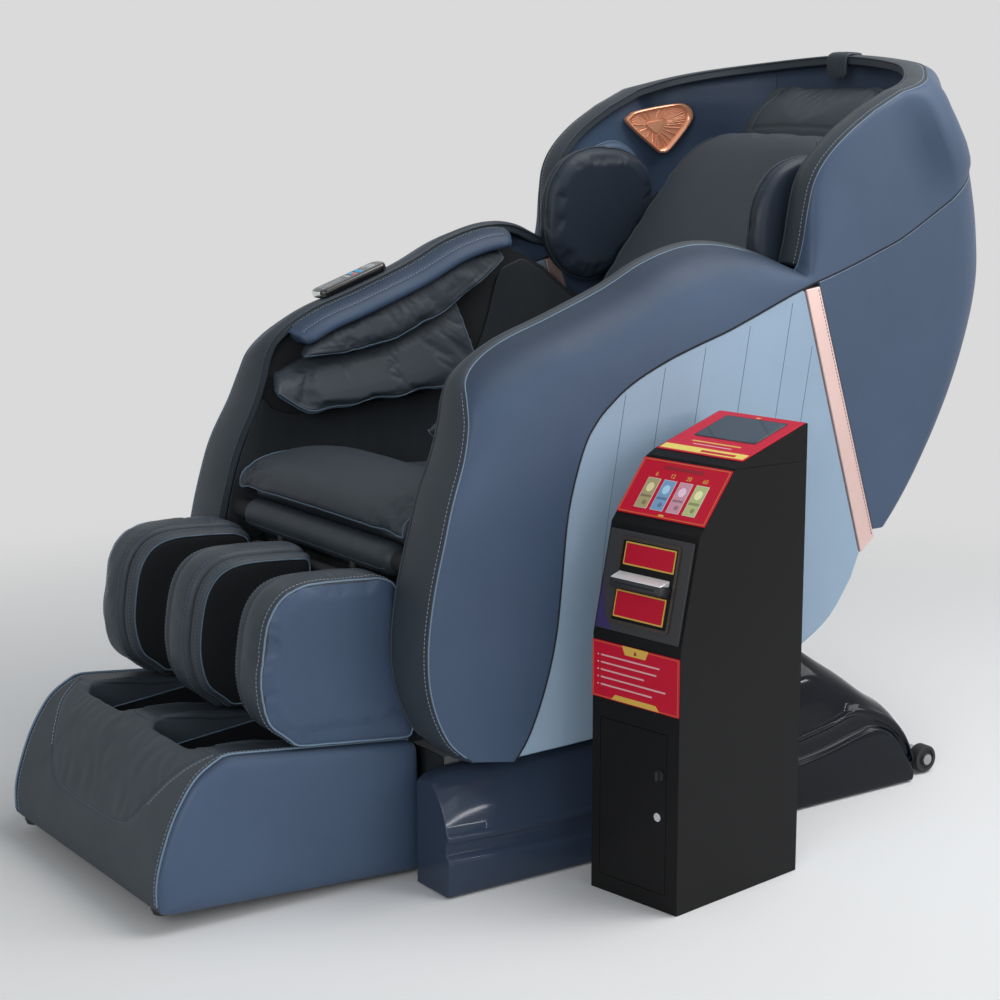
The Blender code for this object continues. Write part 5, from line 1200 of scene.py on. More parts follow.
def makeHead():
    face = "head"
    plate("headPlate", face, (0.003, 0.002, 0.169, 0.1515, 0.0015), 0.0001, 0.0014, "red", *redPlace, 0.0003)
    plate("headBand", face, (0.006, 0.006, 0.166, 0.022, 0.001), 0.0013, 0.0017, "yellow")
    plate("headBandRed", face, (0.082, 0.0095, 0.148, 0.0155, 0.0008), 0.0016, 0.0019, "red")
    plate("headScreen", face, (0.03, 0.06, 0.146, 0.136, 0.003), 0.0013, 0.0022, "glass",
          "base", "screen", 0.0004, node="kiosk_screen")
    border("headScreenEdge", face, 0.028, 0.058, 0.148, 0.138, 0.002, 0.004, 0.0013, 0.0019, "darkPlastic", "screen")
    plate("headLine", face, (0.04, 0.04, 0.134, 0.0436, 0.001), 0.0013, 0.0016, "gold")
    plate("headLineTwo", face, (0.05, 0.031, 0.124, 0.0333, 0.001), 0.0013, 0.0016, "redPale")
    mark = [(0.082, 0.1435), (0.085, 0.1455), (0.088, 0.1435), (0.091, 0.1455), (0.09, 0.1405), (0.083, 0.1405)]
    plate("headMark", face, mark, 0.0013, 0.0016, "gold")


makePricePanel()
makeNoticePanel()
makeAcceptor()
makeHead()
for node, look in (("kiosk_cabinet", "black"), ("kiosk_head", "black"), ("kiosk_door", "black"),
                   ("door_lock", "chrome"), ("door_latch", "darkPlastic")):
    dress(node, look, 0.0009 if node.startswith("kiosk") else 0.0005, 35.0)
print("kiosk made")


# soft pieces are drawn as closed shapes, turned into an even grid, and settled over their filling
def cushionGrid(rows, half, crown, steps=28):
    out = []
    for y, z, riseY, riseZ, width in rows:
        row = []
        for u in spread(steps + 1):
            fall = crown * abs(u) ** 2.5
            row.append(vec(half * width * u, y - riseY * fall, z - riseZ * fall))
        out.append(row)
    return out


def offsetLine(points, distance):
    out = []
    for k, p in enumerate(points):
        a, b = beside(points, k)
        run = dist(a, b)
        out.append((p[0] - (b[1] - a[1]) / run * distance, p[1] + (b[0] - a[0]) / run * distance))
    return out


backLine = {"lean": radians(51.8), "foot": (0.13, 0.62), "drop": 0.045}


def backPoint(s, out):
    lean = backLine["lean"]
    return (backLine["foot"][0] + s * cos(lean) - out * sin(lean),
            backLine["foot"][1] + s * sin(lean) + out * cos(lean))


def flipCopy(piece, name, body, node=None):
    # the same piece mirrored to the other side; with a node, both are padded and stand for it
    mesh = piece.data.copy()
    for vert in mesh.vertices:
        vert.co.x = -vert.co.x
    mesh.flip_normals()
    other = linked(name, mesh)
    smoothOut(other)
    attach(other, body)
    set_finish(other, piece["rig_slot"])
    if node:
        for item, end in ((piece, "_left"), (other, "_right")):
            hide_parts(node + end)
    return other


def smoothOut(piece):
    change = piece.modifiers.new("finer", "SUBSURF")
    change.levels = change.render_levels = 1


def padded(piece, node=None):
    # a subdivided soft piece, with the CAD node it stands for
    smoothOut(piece)
    if node:
        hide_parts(node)


def taper(rings, ends=4, least=0.6):
    # closes both ends of a padded bar softly
    for k in range(ends):
        share = mix(least, 1.0, sin(pi / 2 * (k + 0.3) / ends))
        for ring in (rings[k], rings[-1 - k]):
            middle = sum(ring, Vector()) / len(ring)
            for n, p in enumerate(ring):
                ring[n] = middle + (p - middle) * share
    return rings


seat = {"voxel": 0.0055, "slack": 0.05, "cap": 0.006, "fill": 0.6}


def makeSeat():
    top = [(0.01, 0.47), (0.013, 0.505), (0.0, 0.526), (-0.04, 0.536), (-0.1, 0.542), (-0.2, 0.547),
           (-0.262, 0.549)]
    apron = resample(spline(apronRow, 6), 34)
    under = offsetLine(apron, 0.0186)[:-1]
    line = spline(top, 4) + under
    rows = [(y, z, 0.0, 1.0, 1.0) for y, z in line] + [(-0.452, 0.5, 0.0, 0.0, 1.0)]
    outer = cushionGrid(rows, 0.235, 0.014)
    inner = []
    for k in range(len(rows)):
        y = mix(0.004, -0.43, k / (len(rows) - 1))
        inner.append([vec(0.235 * u, y, 0.4303) for u in spread(29)])
    piece = shellPiece("seatCushion", outer, inner, "soft", *shellPlace, 1, 0.0)
    remesh(piece, seat["voxel"], 6)
    puff(piece, lambda co: co.z < 0.452, seat["slack"], seat["cap"])
    for x in (-0.075, 0.075):
        path = laid(piece, [(x, 0.005, 0.56), (x, -0.14, 0.57), (x, -0.3, 0.575)], 0.0, False, (0, 0, -1))
        groove(piece, path, 0.01, 0.003)
    padded(piece, "seat_cushion")
    rows = [(y, z, 0.0, 1.0, 1.0) for y, z in apron]
    low = [(y, z, 0.0, 1.0, 1.0) for y, z in offsetLine(apron, 0.018)]
    outer = cushionGrid(rows, 0.26, 0.0035, 40)
    inner = cushionGrid(low, 0.26, 0.0, 40)
    piece = shellPiece("seatApron", outer, inner, "soft", *shellPlace, 1, 0.0)
    remesh(piece, 0.0045, 4)
    puff(piece, lambda co: co.y > -0.292 or abs(co.x) > 0.254 and co.z < 0.55, 0.03, 0.006)
    padded(piece, "seat_apron")
    front = [vec(0.256 * u, -0.496, 0.528) for u in spread(41)]
    tube("apronCord", laid(piece, front, 0.0008), 0.0016, "pipingSoft", *shellPlace)
    for side, tag, end in sides:
        edge = [vec(0.2575 * side, y, z + 0.001) for y, z in apron]
        tube("apronSideCord" + tag, laid(piece, edge, onHide["cord"]), 0.0015, "pipingSoft", *shellPlace)


makeSeat()
print("seat made")

backrest = {"half": 0.205, "crown": 0.015, "voxel": 0.006, "fill": 0.65}


def makeBackrest():
    rows, low = [], []
    lean = backLine["lean"]
    for s, front, width in spline([(-0.085, 0.03, 0.96), (-0.074, 0.05, 0.985), (-0.045, 0.066, 1.0),
                                   (0.02, 0.075, 1.0), (0.12, 0.077, 1.0), (0.22, 0.078, 1.0), (0.32, 0.077, 1.0),
                                   (0.42, 0.076, 0.99), (0.48, 0.075, 0.95), (0.525, 0.072, 0.87),
                                   (0.556, 0.062, 0.78), (0.578, 0.045, 0.7), (0.586, 0.028, 0.66)], 4):
        y, z = backPoint(s, front)
        rows.append((y, z, -sin(lean), cos(lean), width))
        y, z = backPoint(s, 0.012)
        low.append((y, z, 0.0, 0.0, width))
    piece = shellPiece("backCushion", cushionGrid(rows, backrest["half"], backrest["crown"]),
                       cushionGrid(low, backrest["half"], 0.0), "soft", *shellPlace, 1, 0.0)
    remesh(piece, backrest["voxel"], 6)
    away = vec(0.0, -sin(lean), cos(lean))
    foot = vec(0.0, *backPoint(0.0, 0.0))
    puff(piece, lambda co: (co - foot).dot(away) < 0.028, 0.04, 0.006)
    padded(piece, "back_cushion")
    for side, tag, end in sides:
        path = []
        for s in (-0.06, 0.1, 0.25, 0.4, 0.47, 0.525, 0.56):
            width = 0.192 if s < 0.42 else 0.192 * (1.0 - ((s - 0.42) / 0.16) ** 2 * 0.34)
            y, z = backPoint(s, 0.075)
            path.append(vec(width * side, y, z))
        path = spline(path, 6)
        groove(piece, laid(piece, path), 0.006, 0.0016)
        tube("backCord" + tag, laid(piece, path, onHide["cord"]), 0.0018, "charcoal", *shellPlace)


makeBackrest()
print("backrest made")

headrest = {"half": 0.15, "fill": 0.7}
strapForm = {"half": 0.025, "thick": 0.0042,
             "folds": ((-0.018, 0.006), (-0.01, 0.01), (-0.001, 0.004), (0.006, 0.012), (0.016, -0.004))}


def makeHeadrest():
    base = backPoint(0.585, -backLine["drop"])[1] + 0.0003
    front = [(0.5, base, 0.006), (0.494, base + 0.018, 0.006), (0.499, 1.101, 0.006), (0.521, 1.137, 0.006),
             (0.56, 1.165, -0.004), (0.596, 1.182, -0.018)]
    back = [(0.585, base, -0.022), (0.6, base + 0.022, -0.022), (0.612, 1.101, -0.022), (0.617, 1.13, -0.022),
            (0.617, 1.155, -0.022), (0.611, 1.178, -0.022)]
    outer, inner = [], []
    for (fy, fz, fb), (by, bz, bb) in zip(spline(front, 5), spline(back, 5)):
        outer.append([vec(headrest["half"] * u, fy + fb * u * u, fz) for u in spread(25)])
        inner.append([vec(headrest["half"] * u, by + bb * u * u, bz) for u in spread(25)])
    piece = shellPiece("headCushion", outer, inner, "soft", *shellPlace, 1, 0.0)
    remesh(piece, 0.0045, 6)
    puff(piece, lambda co: co.y > 0.585, 0.05, 0.006)
    padded(piece, "head_cushion")
    path = [vec(x, 0.5, 1.112) for x in (-0.14, -0.07, 0.0, 0.07, 0.14)]
    groove(piece, laid(piece, spline(path, 6)), 0.006, 0.0016)
    for side, tag, end in sides:
        path = [vec(0.128 * side, y, z) for y, z, b in front[1:]]
        path = spline(path, 6)
        groove(piece, laid(piece, path), 0.006, 0.0016)
        tube("headCord" + tag, laid(piece, path, 0.0005), 0.0015, "charcoal", *shellPlace)
    rimY = size["rimY"] + size["rimB"]
    frontY, top = rimY - 0.044 - 0.0022, size["rimHigh"]
    path = [vec(0.0, y, z) for y, z in spline([
        (frontY - 0.0015, top - 0.038), (frontY - 0.003, top - 0.02), (frontY - 0.0022, top - 0.003),
        (frontY + 0.005, top + 0.0038), (frontY + 0.02, top + 0.0044), (rimY - 0.007, top + 0.003)], 7)]
    rings = []
    for i, point in enumerate(path):
        before, after = beside(path, i)
        along = (after - before).normalized()
        outward = vec(0.0, -along.z, along.y)
        ring = []
        for k in range(64):
            turn = tau * k / 64
            x = strapForm["half"] * copysign(abs(cos(turn)) ** 0.6, cos(turn))
            lift = strapForm["thick"] * copysign(abs(sin(turn)) ** 0.6, sin(turn))
            if lift > 0.0:
                for place, lean in strapForm["folds"]:
                    lift -= 0.0017 * exp(-((x - place - lean * i / len(path)) / 0.0019) ** 2)
            ring.append(point + vec(x, 0.0, 0.0) + outward * lift)
        rings.append(ring)
    loftPiece("headStrap", taper(rings, 4, 0.72), "charcoal", *hidePlace, node="head_strap")


makeHeadrest()
print("headrest made")


def profileRings(section, low, high):
    rings = []
    for (edge, _, _), normal in zip(armLine, armNormals):
        if low < edge.y < high:
            rings.append([vec(x, edge.y, edge.z) + normal * deep for x, deep in section])
    return rings


def makeArmPads():
    out = armCrest - 0.0012
    section = loopSpline([(out, 0.002), (0.262, 0.0035), (0.249, 0.0085), (0.236, 0.019), (0.229, 0.031),
                          (0.233, 0.0412), (0.255, 0.042), (0.284, 0.042), (0.2845, 0.028), (0.284, 0.016),
                          (out, 0.0155)], 3)
    rings = taper(profileRings(section, -0.405, 0.058), 3, 0.8)
    for side, tag, end in sides:
        piece = loftPiece("armPad" + tag, rings, "slate", *shellPlace, side)
        remesh(piece, 0.0045, 5)
        padded(piece, "arm_pad" + end)
        for index, (x, deep) in enumerate(((0.2655, 0.0), (0.2395, 0.012))):
            path = []
            for (edge, _, _), normal in zip(armLine, armNormals):
                if -0.392 < edge.y < 0.045:
                    path.append(vec(x * side, edge.y, edge.z) + vec(0, normal.y, normal.z) * deep)
            groove(piece, laid(piece, path), 0.004, 0.0009)
            line = laid(piece, path, onHide["thread"])
            stitches(f"armPadStitch{index}{tag}", line, "thread", *shellPlace, 1, 0.0034, 0.0026)


flapUpper = [(-0.385, 0.735), (-0.33, 0.736), (-0.285, 0.739), (-0.227, 0.747), (-0.129, 0.78), (-0.025, 0.843),
             (0.028, 0.883)]
flapLower = [(-0.436, 0.68), (-0.402, 0.656), (-0.358, 0.64), (-0.26, 0.648), (-0.15, 0.658), (-0.075, 0.667),
             (-0.03, 0.69)]
flapLowerTop = [(-0.42, 0.708), (-0.378, 0.726), (-0.33, 0.742), (-0.285, 0.747), (-0.227, 0.755),
                (-0.129, 0.788), (-0.06, 0.826)]


def flapRings(tops, low, highX, lowX, thick, wave):
    low = resample(spline(low, 6), len(tops))
    rings = []
    for k, ((ty, tz), (ly, lz)) in enumerate(zip(tops, low)):
        lz += wave * sin(k * 0.75) * sin(pi * k / (len(tops) - 1))
        ring = []
        for v, swell in ((0.0, 0.0), (0.18, 0.0016), (0.35, 0.003), (0.55, 0.0044), (0.7, 0.005), (0.84, 0.0044),
                         (0.93, 0.003)):
            ring.append(vec(mix(highX, lowX, v) - swell, mix(ty, ly, v), mix(tz, lz, v)))
        ring.append(vec(lowX + 0.002, mix(ty, ly, 0.985), mix(tz, lz, 0.985)))
        ring.append(vec(lowX + 0.006, ly, lz))
        for v in (0.97, 0.93, 0.75, 0.5, 0.25, 0.0):
            ring.append(vec(mix(highX, lowX, v) + thick - 0.004 * smoothStep((v - 0.8) / 0.13), mix(ty, ly, v),
                            mix(tz, lz, v)))
        rings.append(ring)
    return rings


def makeFlaps():
    tops = []
    for (edge, _, _), normal in zip(armLine, armNormals):
        if -0.4 < edge.y < 0.03:
            point = edge + normal * 0.0426
            tops.append((point.y, point.z))
    specs = (("flapUpper", "arm_airbag_upper", tops, flapUpper, 0.248, 0.234, 0.02, 0.0016),
             ("flapLower", "arm_airbag_lower", resample(spline(flapLowerTop, 6), 40), flapLower,
              size["innerX"] - 0.0175, 0.228, 0.0175, 0.0022))
    for label, node, top, low, highX, lowX, thick, wave in specs:
        rings = flapRings(top, low, highX, lowX, thick, wave)
        piece = loftPiece(label + "Left", rings, "soft", *hidePlace, 1)
        remesh(piece, 0.0042, 4)
        puff(piece, lambda co: co.x > mix(highX, lowX, 0.5) + thick * 0.62, 0.025, 0.0045, 3.0)
        smoothOut(piece)
        lowLine = [ring[8] for ring in rings]
        line = laid(piece, lowLine, onHide["cord"])
        twin = [p + vec(-0.0052, 0.0, 0.0035) for p in lowLine]
        twinLine = laid(piece, twin, 0.0004)
        endLine = laid(piece, rings[-1][:9], 0.0005)
        groove(piece, laid(piece, [p + vec(-0.003, 0, 0.011) for p in lowLine]), 0.006, 0.0015)
        flipCopy(piece, label + "Right", "capsule", node)
        for side, tag, end in sides:
            tube(f"{label}Cord{tag}", line, 0.0013, "pipingSoft", *hidePlace, side)
            tube(f"{label}Twin{tag}", twinLine, 0.001, "pipingSoft", *hidePlace, side)
            tube(f"{label}End{tag}", endLine, 0.0011, "pipingSoft", *hidePlace, side)


makeArmPads()
makeFlaps()
print("arms padded")

shoulder = {"outer": [(0.222, 0.93), (0.22, 0.97), (0.228, 1.012), (0.25, 1.045), (0.29, 1.072),
                      (0.34, 1.082), (0.385, 1.055), (0.398, 1.005), (0.385, 0.965), (0.34, 0.944),
                      (0.285, 0.925), (0.24, 0.914)],
            "inner": [(0.152, 0.9), (0.148, 0.96), (0.16, 1.015), (0.195, 1.056), (0.255, 1.074),
                      (0.325, 1.068), (0.378, 1.036), (0.392, 0.985), (0.362, 0.915), (0.3, 0.85),
                      (0.245, 0.832), (0.19, 0.85)], "fill": 0.75}


def pillowRings(outline, low, high, ease):
    cy = sum(p[0] for p in outline) / len(outline)
    cz = sum(p[1] for p in outline) / len(outline)
    rings = []
    for share, shrink in ((0.0, 1.35), (0.03, 1.0), (0.12, 0.5), (0.25, 0.2), (0.4, 0.05), (0.5, 0.0), (0.6, 0.05),
                          (0.75, 0.2), (0.88, 0.5), (0.97, 1.0), (1.0, 1.35)):
        rings.append([vec(mix(low, high, share), cy + (y - cy) * (1 - ease * shrink),
                          cz + (z - cz) * (1 - ease * shrink)) for y, z in outline])
    return rings


def makeShoulders():
    wall = size["half"] - size["wing"] - 0.0003
    for label, node, outline, low, high, look, cordLook in (
        ("shoulderOuter", "shoulder_airbag_outer", shoulder["outer"], wall, wall - 0.036, "slate",
         "pipingSoft"),
        ("shoulderInner", "shoulder_airbag_inner", shoulder["inner"], wall - 0.0363, wall - 0.078,
         "slateDeep", "charcoal")):
        loop = loopSpline(outline, 6)
        piece = loftPiece(label + "Left", pillowRings(loop, low, high, 0.085), look, *hidePlace, 1)
        remesh(piece, 0.0045, 4)
        puff(piece, lambda co: co.x > low - 0.008, 0.004, 0.003)
        smoothOut(piece)
        middle = mix(low, high, 0.62)
        path = [vec(middle, y, z) for y, z in loop]
        line = laid(piece, path, onHide["cord"], True)
        groove(piece, laid(piece, [p + vec(0.006, 0, 0) for p in path], 0.0, True), 0.005, 0.0015, True)
        flipCopy(piece, label + "Right", "capsule", node)
        for side, tag, end in sides:
            tube(f"{label}Cord{tag}", line, 0.0015, cordLook, *hidePlace, side, 8, True)


makeShoulders()
print("shoulder pads made")

grille = {"outline": [(-0.065, 0.008), (-0.061, 0.023), (-0.042, 0.032), (0.03, 0.044), (0.058, 0.043),
                      (0.073, 0.029), (0.069, 0.008), (0.028, -0.04), (0.01, -0.048), (-0.006, -0.04)],
          "turn": 12.0, "at": (0.325, 0.442, 1.106), "ribs": 38}


def makeSpeakers():
    outline = loopSpline(grille["outline"], 8)
    spin = Matrix.Translation(grille["at"]) @ Matrix.Rotation(radians(grille["turn"]), 4, "Z")
    centre = (-0.01, 0.003)

    def at(y, z, scale, out):
        return spin @ vec(-out, mix(centre[0], y, scale), mix(centre[1], z, scale))

    def ring(scale, out):
        return [at(y, z, scale, out) for y, z in outline]

    rings = [ring(scale, out) for scale, out in (
        (1.0, 0.0), (1.008, 0.004), (1.0, 0.0078), (0.97, 0.0106), (0.925, 0.0116), (0.875, 0.0108),
        (0.838, 0.0086), (0.825, 0.0058))]
    for side, tag, end in sides:
        loftPiece("speaker" + tag, rings, "copper", "capsule", "speaker_copper", side, 35.0, node="speaker" + end)
        loftPiece("speakerCore" + tag, [ring(0.27, 0.006), ring(0.25, 0.0092)], "copper", "capsule",
                  "speaker_copper", side, 35.0)
        for k in range(grille["ribs"]):
            y, z = outline[int(k * len(outline) / grille["ribs"])]
            path = [at(y, z, share, 0.0068) for share in (0.34, 0.5, 0.65, 0.79)]
            tube(f"speakerRib{k}{tag}", path, lambda t: 0.0006 + 0.0007 * t, "copper", "capsule",
                 "speaker_copper", side, 6)


makeSpeakers()
print("speakers made")

# legrest: three calf pads with their airbags, knee roll, channel backs
calf = {"in": 0.1717, "core": 0.204, "out": 0.2737, "middle": 0.03, "middleIn": 0.061, "cord": 0.0016,
        "voxel": 0.005, "slack": 0.012, "cap": 0.004, "fill": 0.8, "lobeFill": 0.5, "hem": 0.262}


def footTop(y):
    return 0.248 - 0.032 * (y + 0.801) / 0.312


def roundAt(before, corner, after, radius, steps=4):
    a, b = dist(before, corner), dist(corner, after)
    start = [mix(c, p, min(radius / a, 0.45)) for c, p in zip(corner, before)]
    stop = [mix(c, p, min(radius / b, 0.45)) for c, p in zip(corner, after)]
    return [tuple((1 - t) ** 2 * s + 2 * t * (1 - t) * c + t * t * e for s, c, e in zip(start, corner, stop))
            for t in (k / steps for k in range(steps + 1))]


def insetLoop(loop, distance):
    # closed outline moved inwards by a distance
    turns = sum(loop[k - 1][0] * p[1] - p[0] * loop[k - 1][1] for k, p in enumerate(loop))
    sign = 1.0 if turns > 0 else -1.0
    out = []
    for k, p in enumerate(loop):
        before, after = loop[k - 1], loop[(k + 1) % len(loop)]
        n1 = Vector((before[1] - p[1], p[0] - before[0])).normalized() * sign
        n2 = Vector((p[1] - after[1], after[0] - p[0])).normalized() * sign
        shift = (n1 + n2) * distance / max(1.0 + n1.dot(n2), 0.6)
        out.append((p[0] + shift.x, p[1] + shift.y))
    return out


def ringStack(loop, profile):
    # rings across x, each an outline moved in and scaled about its middle
    cy, cz = sum(p[0] for p in loop) / len(loop), sum(p[1] for p in loop) / len(loop)
    rings = []
    for x, distance, *scaled in profile:
        scale = scaled[0] if scaled else 1.0
        rings.append([vec(x, cy + (y - cy) * scale, cz + (z - cz) * scale)
                      for y, z in insetLoop(loop, distance)])
    return rings


def finLoop(rearPoints):
    front = [p for p in calfFront if p[0] < rearPoints[0][0] - 0.004]
    foot = (-0.69, footTop(-0.69) + 0.004)
    line = spline([foot] + front, 5)
    loop = roundAt(rearPoints[1], foot, line[2], 0.012)
    loop += line[3:]
    loop += roundAt(line[-1], rearPoints[0], rearPoints[1], 0.014)
    loop += roundAt(rearPoints[0], rearPoints[1], foot, 0.014)
    return resample(loop + [loop[0]], 97)[:-1]


def finFront(loop, low=-0.5):
    # the part of the outline that shows: from the front foot over the top
    start = min(range(len(loop)), key=lambda k: loop[k][1] + abs(loop[k][0] + 0.69))
    order = loop[start:] + loop[:start]
    return [p for p in order[:int(len(order) * 0.62)] if p[0] < low]


def makeLobe(label, loop, near, far):
    # airbag beside a pad: leather front, black cloth against the leg
    step = 1.0 if far > near else -1.0
    profile = [(near, 0.01, 0.97), (near + 0.004 * step, 0.009), (near + 0.01 * step, 0.006),
               (near + 0.018 * step, 0.006), (near + 0.024 * step, 0.009, 0.99),
               (near + 0.028 * step, 0.01, 0.96), (far - 0.0016 * step, 0.01, 0.91),
               (far - 0.0004 * step, 0.01, 0.82), (far, 0.01, 0.6), (far, 0.01, 0.3)]
    piece = loftPiece(label, ringStack(loop, profile), "lobe", *calfPlace)
    padded(piece)
    edge = ringStack(loop, [(far - 0.0042 * step, 0.01, 0.955)])[0]
    tube(label + "Cord", laid(piece, edge, onHide["cord"], True), 0.0013, "pipingSoft", *calfPlace, 1, 6, True)
    line = finFront(loop)
    low = insetLoop(loop, 0.0062)
    row = [vec(near + 0.0215 * step, *low[loop.index(p)]) for p in line]
    stitches(label + "Whip", laid(piece, row, onHide["thread"]), "threadDark", *calfPlace, 1, 0.003, 0.003, 0.0007)


def makeCalfPads():
    rear = [(-0.514, 0.467), (-0.486, footTop(-0.486) + 0.004)]
    loop = finLoop(rear)
    low, high = calf["core"], calf["out"]
    profile = [(low, 0.01), (low + 0.002, 0.004), (low + 0.006, 0.0012), (low + 0.012, 0.0),
               (low + 0.03, 0.0), (low + 0.048, 0.0), (high - 0.01, 0.0), (high - 0.006, 0.0008),
               (high - 0.003, 0.0026), (high - 0.001, 0.006), (high, 0.009, 0.97), (high + 0.0012, 0.009, 0.88),
               (high + 0.002, 0.009, 0.66), (high + 0.0024, 0.009, 0.33)]
    near = loftPiece("calfPadLeft", ringStack(loop, profile), "fin", *calfPlace)
    remesh(near, calf["voxel"], 4)
    puff(near, lambda co: co.x < low + 0.008 or co.z < calf["hem"], calf["slack"], calf["cap"], 5.0, 12)
    smoothOut(near)
    far = flipCopy(near, "calfPadRight", "legrest")
    edge = laid(near, ringStack(loop, [(high - 0.0036, 0.0022)])[0], onHide["cord"], True)
    front = finFront(loop)
    row = laid(near, [vec(high - 0.0135, y, z) for y, z in front], onHide["thread"])
    inner = laid(near, [vec(low + 0.0085, y, z) for y, z in front], onHide["thread"])
    for side, tag, end in sides:
        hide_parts("calf_fin" + end)
        tube("calfCord" + tag, edge, calf["cord"], "piping", *calfPlace, side, 8, True)
        stitches("calfStitch" + tag, row, "thread", *calfPlace, side)
        stitches("calfStitchInner" + tag, inner, "threadDark", *calfPlace, side)
        makeLobe("calfLobe" + tag, loop, (low - 0.0004) * side, calf["in"] * side)
    rear = [(-0.5303, 0.474), (-0.5303, footTop(-0.5303) + 0.004)]
    loop = finLoop(rear)
    half = calf["middle"]
    profile = [(-half, 0.01), (-half + 0.002, 0.004), (-half + 0.006, 0.001),
               (-half + 0.013, 0.0), (0.0, -0.0005), (half - 0.013, 0.0), (half - 0.006, 0.001),
               (half - 0.002, 0.004), (half, 0.01)]
    middle = loftPiece("calfPadMiddle", ringStack(loop, profile), "charcoal", *calfPlace)
    remesh(middle, calf["voxel"], 4)
    puff(middle, lambda co: abs(co.x) > half - 0.008 or co.z < calf["hem"], calf["slack"], calf["cap"], 5.0, 12)
    padded(middle, "calf_fin_middle")
    front = finFront(loop, -0.535)
    for side, tag, end in sides:
        makeLobe("calfLobeMiddle" + tag, loop, (half + 0.0004) * side, calf["middleIn"] * side)
        row = laid(middle, [vec((half - 0.008) * side, y, z) for y, z in front], onHide["thread"])
        stitches("calfMiddleStitch" + tag, row, "threadDark", *calfPlace)


roll = {"y": -0.485, "z": 0.485, "r": 0.0264, "half": 0.1712, "long": 0.232, "sleeve": 0.016}


def makeKneeRoll():
    rings = []
    for u in spread(49):
        end = max(abs(u) - 0.9, 0.0) / 0.1
        r = roll["r"] * sqrt(max(1.0 - end ** 2.4 * 0.72, 0.02))
        r *= 1.0 + 0.012 * sin(u * 31.0) * (1 - end) - 0.01 * (1 - abs(u))
        rings.append([vec(roll["long"] * u, roll["y"] + r * cos(a), roll["z"] + r * sin(a))
                      for a in (tau * n / 28 for n in range(28))])
    piece = loftPiece("kneeRoll", rings, "soft", *calfPlace)
    padded(piece, "calf_rest")
    line = [vec(roll["long"] * 0.97 * u, roll["y"] - 0.026, roll["z"] - 0.012) for u in spread(25)]
    stitches("kneeRollStitch", laid(piece, line, onHide["thread"]), "threadDark", *calfPlace)
    for side, tag, end in sides:
        low, high = sorted((0.0005 * side, roll["half"] * side))
        loop = roundAt((-0.5083, 0.236), (-0.5298, 0.236), (-0.5298, 0.452), 0.008)
        loop += roundAt((-0.5298, 0.236), (-0.5298, 0.452), (-0.5083, 0.452), 0.009)
        loop += roundAt((-0.5298, 0.452), (-0.5083, 0.452), (-0.5083, 0.236), 0.004)
        loop += roundAt((-0.5083, 0.452), (-0.5083, 0.236), (-0.5298, 0.236), 0.004)
        profile = [(low, 0.004), (low + 0.0015, 0.0012), (low + 0.004, 0.0), (high - 0.004, 0.0),
                   (high - 0.0015, 0.0012), (high, 0.004)]
        piece = loftPiece("channelBack" + tag, ringStack(loop, profile), "lining", *calfPlace)
        padded(piece)
        path = [vec(x * side, roll["y"], roll["z"]) for x in (roll["long"] - 0.004, 0.245, 0.265, 0.2835)]
        tube("shaftSleeve" + tag, resample(path, 30), lambda t: roll["sleeve"] * (1 - 0.03 * abs(sin(t * 22.0))),
             "lining", "legrest", "rubber", 1, 20)


makeKneeRoll()
makeCalfPads()
print("calf pads made")

# foot unit: leather body with two wells, padded side cheeks, glides
foot = {"half": 0.2584, "voxel": 0.0045, "wellIn": 0.03, "wellOut": 0.205, "front": -0.822, "back": -0.52,
        "slope": 0.012, "floor": 0.07, "fill": 0.8}
footSeam = [(0.0, -0.903, 0.119), (0.075, -0.9025, 0.12), (0.115, -0.901, 0.124), (0.142, -0.896, 0.137),
            (0.16, -0.888, 0.157), (0.176, -0.878, 0.178), (0.192, -0.865, 0.198), (0.212, -0.846, 0.222),
            (0.234, -0.808, 0.246)]


def carve(piece, rings, name):
    # cuts a body out of a piece and leaves nothing of the cutter
    count = len(rings[0])
    bm = bmesh.new()
    made = [bm.verts.new(p) for ring in rings for p in ring]
    for face in gridFaces(len(rings), count, 0, True) + capFaces(count, len(rings)):
        bm.faces.new([made[k] for k in face])
    bmesh.ops.recalc_face_normals(bm, faces=bm.faces)
    mesh = meshOf(name, bm)
    cutter = linked(name, mesh)
    change = piece.modifiers.new("cut", "BOOLEAN")
    change.operation, change.solver, change.object = "DIFFERENCE", "EXACT", cutter
    settle(piece)
    bpy.data.objects.remove(cutter, do_unlink=True)


def footLoop():
    line = spline(footFront, 6)
    loop = roundAt(footRear[2], footFront[0], line[2], 0.01) + line[3:-2]
    loop += roundAt(line[-3], footFront[-1], footRear[0], 0.024)
    loop += roundAt(footFront[-1], (-0.481, 0.215), (-0.4735, 0.11), 0.018)
    loop += roundAt((-0.4735, 0.11), footRear[2], footFront[0], 0.02)
    return resample(loop + [loop[0]], 121)[:-1]


def wrinkle(piece, where, scale, deep):
    # small soft folds pressed into the leather
    for vert in piece.data.vertices:
        share = where(vert.co)
        if share > 0.0:
            value = noise.noise(vec(vert.co.x * scale[0], vert.co.y * scale[1], vert.co.z * scale[2]))
            vert.co += vert.normal * (abs(value) - 0.25) * deep * share
    piece.data.update()


def footArc(co):
    # how much a point belongs to the stitched-in front panel
    side = 1.0 - smoothStep((abs(co.x) - 0.16) / 0.06)
    return side * smoothStep((co.z - 0.115) / 0.03) * (1.0 - smoothStep((co.y + 0.8) / 0.03))


